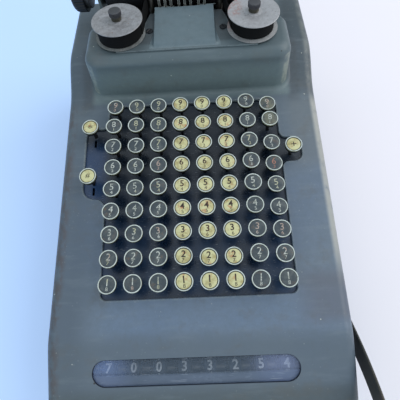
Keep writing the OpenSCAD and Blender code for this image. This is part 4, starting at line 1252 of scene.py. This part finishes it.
KEPT = (
    (ENAMEL, "base_pan keyboard_plate"),
    (RUBBER, "rubber_feet feed_roller"),
    (BARE, "foot_screws dial_shaft platen_shaft ribbon_posts spool_studs"),
    (BARE, "tie_rods handle_shaft return_spring"),
    (DULL, "key_guide_plate type_bar_guides paper_guide"),
    (CLOTH, "ribbon"),
    (PAINT, "left_side_frame right_side_frame"),
    (BRASS, "handle_bushing"),
    (SHEET, "window_lens"),
)
for material, nodes in KEPT:
    for node in nodes.split():
        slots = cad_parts[node].data.materials
        slots.clear()
        slots.append(material)


# Floor, light and camera

FLOOR = 4000
FLOOR_LIFT = 0.2
LAMP_AT = (1.3, 0.3, 1.3)
LAMP_ENERGY = 14
SKY = (0.80, 0.90, 1.0, 1)
SKY_STRENGTH = 0.95
HORIZON = (0.42, 0.49, 0.49, 1)
SIDE = (0.62, 0.62, 0.60, 1)
FRONT = (0.95, 1.08, 1.10, 1)
BACKDROP = (0.66, 0.78, 0.95, 1)


def make_floor():
    """Pale floor, bluer at the left and paler at the right as painted shade and light, seen a little brighter
    by the camera and in gloss.
    """
    shape = Shape()
    shape.add([(a * FLOOR, b * FLOOR, 0) for a, b in SQUARE], [[0, 1, 2, 3]])
    f = Finish("pale_floor")
    # Painted shade and light: bluer at the left, paler at the right
    side = f.along("X", -150, 190)
    f.colour = f.mix(side, (180, 212, 250), (224, 216, 226))
    f.over((200, 204, 210), f.cloud(400, 0.3, 0.7, 3), 0.12)
    lift = f.mix(side, (0.8, 0.95, 1.4, 1), (0.8, 0.95, 0.95, 1))
    rays = f.node("LightPath").outputs
    seen = f.math("MAXIMUM", rays["Is Glossy Ray"], rays["Is Transmission Ray"])
    seen = f.math("MAXIMUM", rays["Is Camera Ray"], seen)
    glow = {"Emission_Color": lift, "Emission_Strength": f.product(seen, FLOOR_LIFT)}
    f.done(Roughness=0.9, Specular_IOR_Level=0.1, **glow)
    shape.make("floor", [f.material])


def make_lamp():
    lamp = bpy.data.lights.new("softbox", "AREA")
    lamp.shape = "RECTANGLE"
    lamp.size = 1.6
    lamp.size_y = 1.2
    lamp.energy = LAMP_ENERGY
    lamp.color = (1.0, 0.98, 0.95)
    holder = new_object("softbox", lamp)
    holder.location = LAMP_AT
    aim = Vector((0, 0, 0.08)) - Vector(LAMP_AT)
    holder.rotation_euler = aim.to_track_quat("-Z", "Y").to_euler()


def make_sky():
    """Soft blue light from above, a dim horizon, and a pale glow from the right and the front."""
    world = bpy.data.worlds.new("studio")
    bpy.context.scene.world = world
    world.use_nodes = True
    w = Nodes(world.node_tree, "Generated", 1)
    ring = w.mix(w.along("X", 0.25, 0.9), HORIZON, SIDE)
    ring = w.mix(w.along("Y", -0.3, -0.9), ring, FRONT)
    light = w.mix(w.along("Z", 0.35, 0.95), ring, SKY)
    colour = w.mix(w.node("LightPath").outputs["Is Camera Ray"], light, BACKDROP)
    w.feed_all(w.tree.nodes["Background"], {"Color": colour, "Strength": SKY_STRENGTH})


# The camera stands where the photograph's did: height 359 mm over the desk, looking down steeply
CAMERA_AT = (14.06, -175.85, 358.74)
CAMERA_RIGHT = (0.99837020, -0.02905049, -0.04912253)
CAMERA_DOWN = (-0.04869239, -0.88254419, -0.46770162)
CAMERA_AHEAD = (-0.02976584, 0.46933125, -0.88252035)
CAMERA_LENS = 32.4


def make_camera():
    data = bpy.data.cameras.new("camera")
    data.sensor_width = 36
    data.lens = CAMERA_LENS
    data.clip_start = 0.01
    data.clip_end = 20
    camera = new_object("camera", data)
    axes = Matrix((Vector(CAMERA_RIGHT), -Vector(CAMERA_DOWN), -Vector(CAMERA_AHEAD)))
    camera.matrix_world = move(*Vector(CAMERA_AT) * MM) @ axes.transposed().to_4x4()
    bpy.context.scene.camera = camera


make_floor()
make_lamp()
make_sky()
make_camera()
bpy.context.scene.view_settings.view_transform = "Standard"
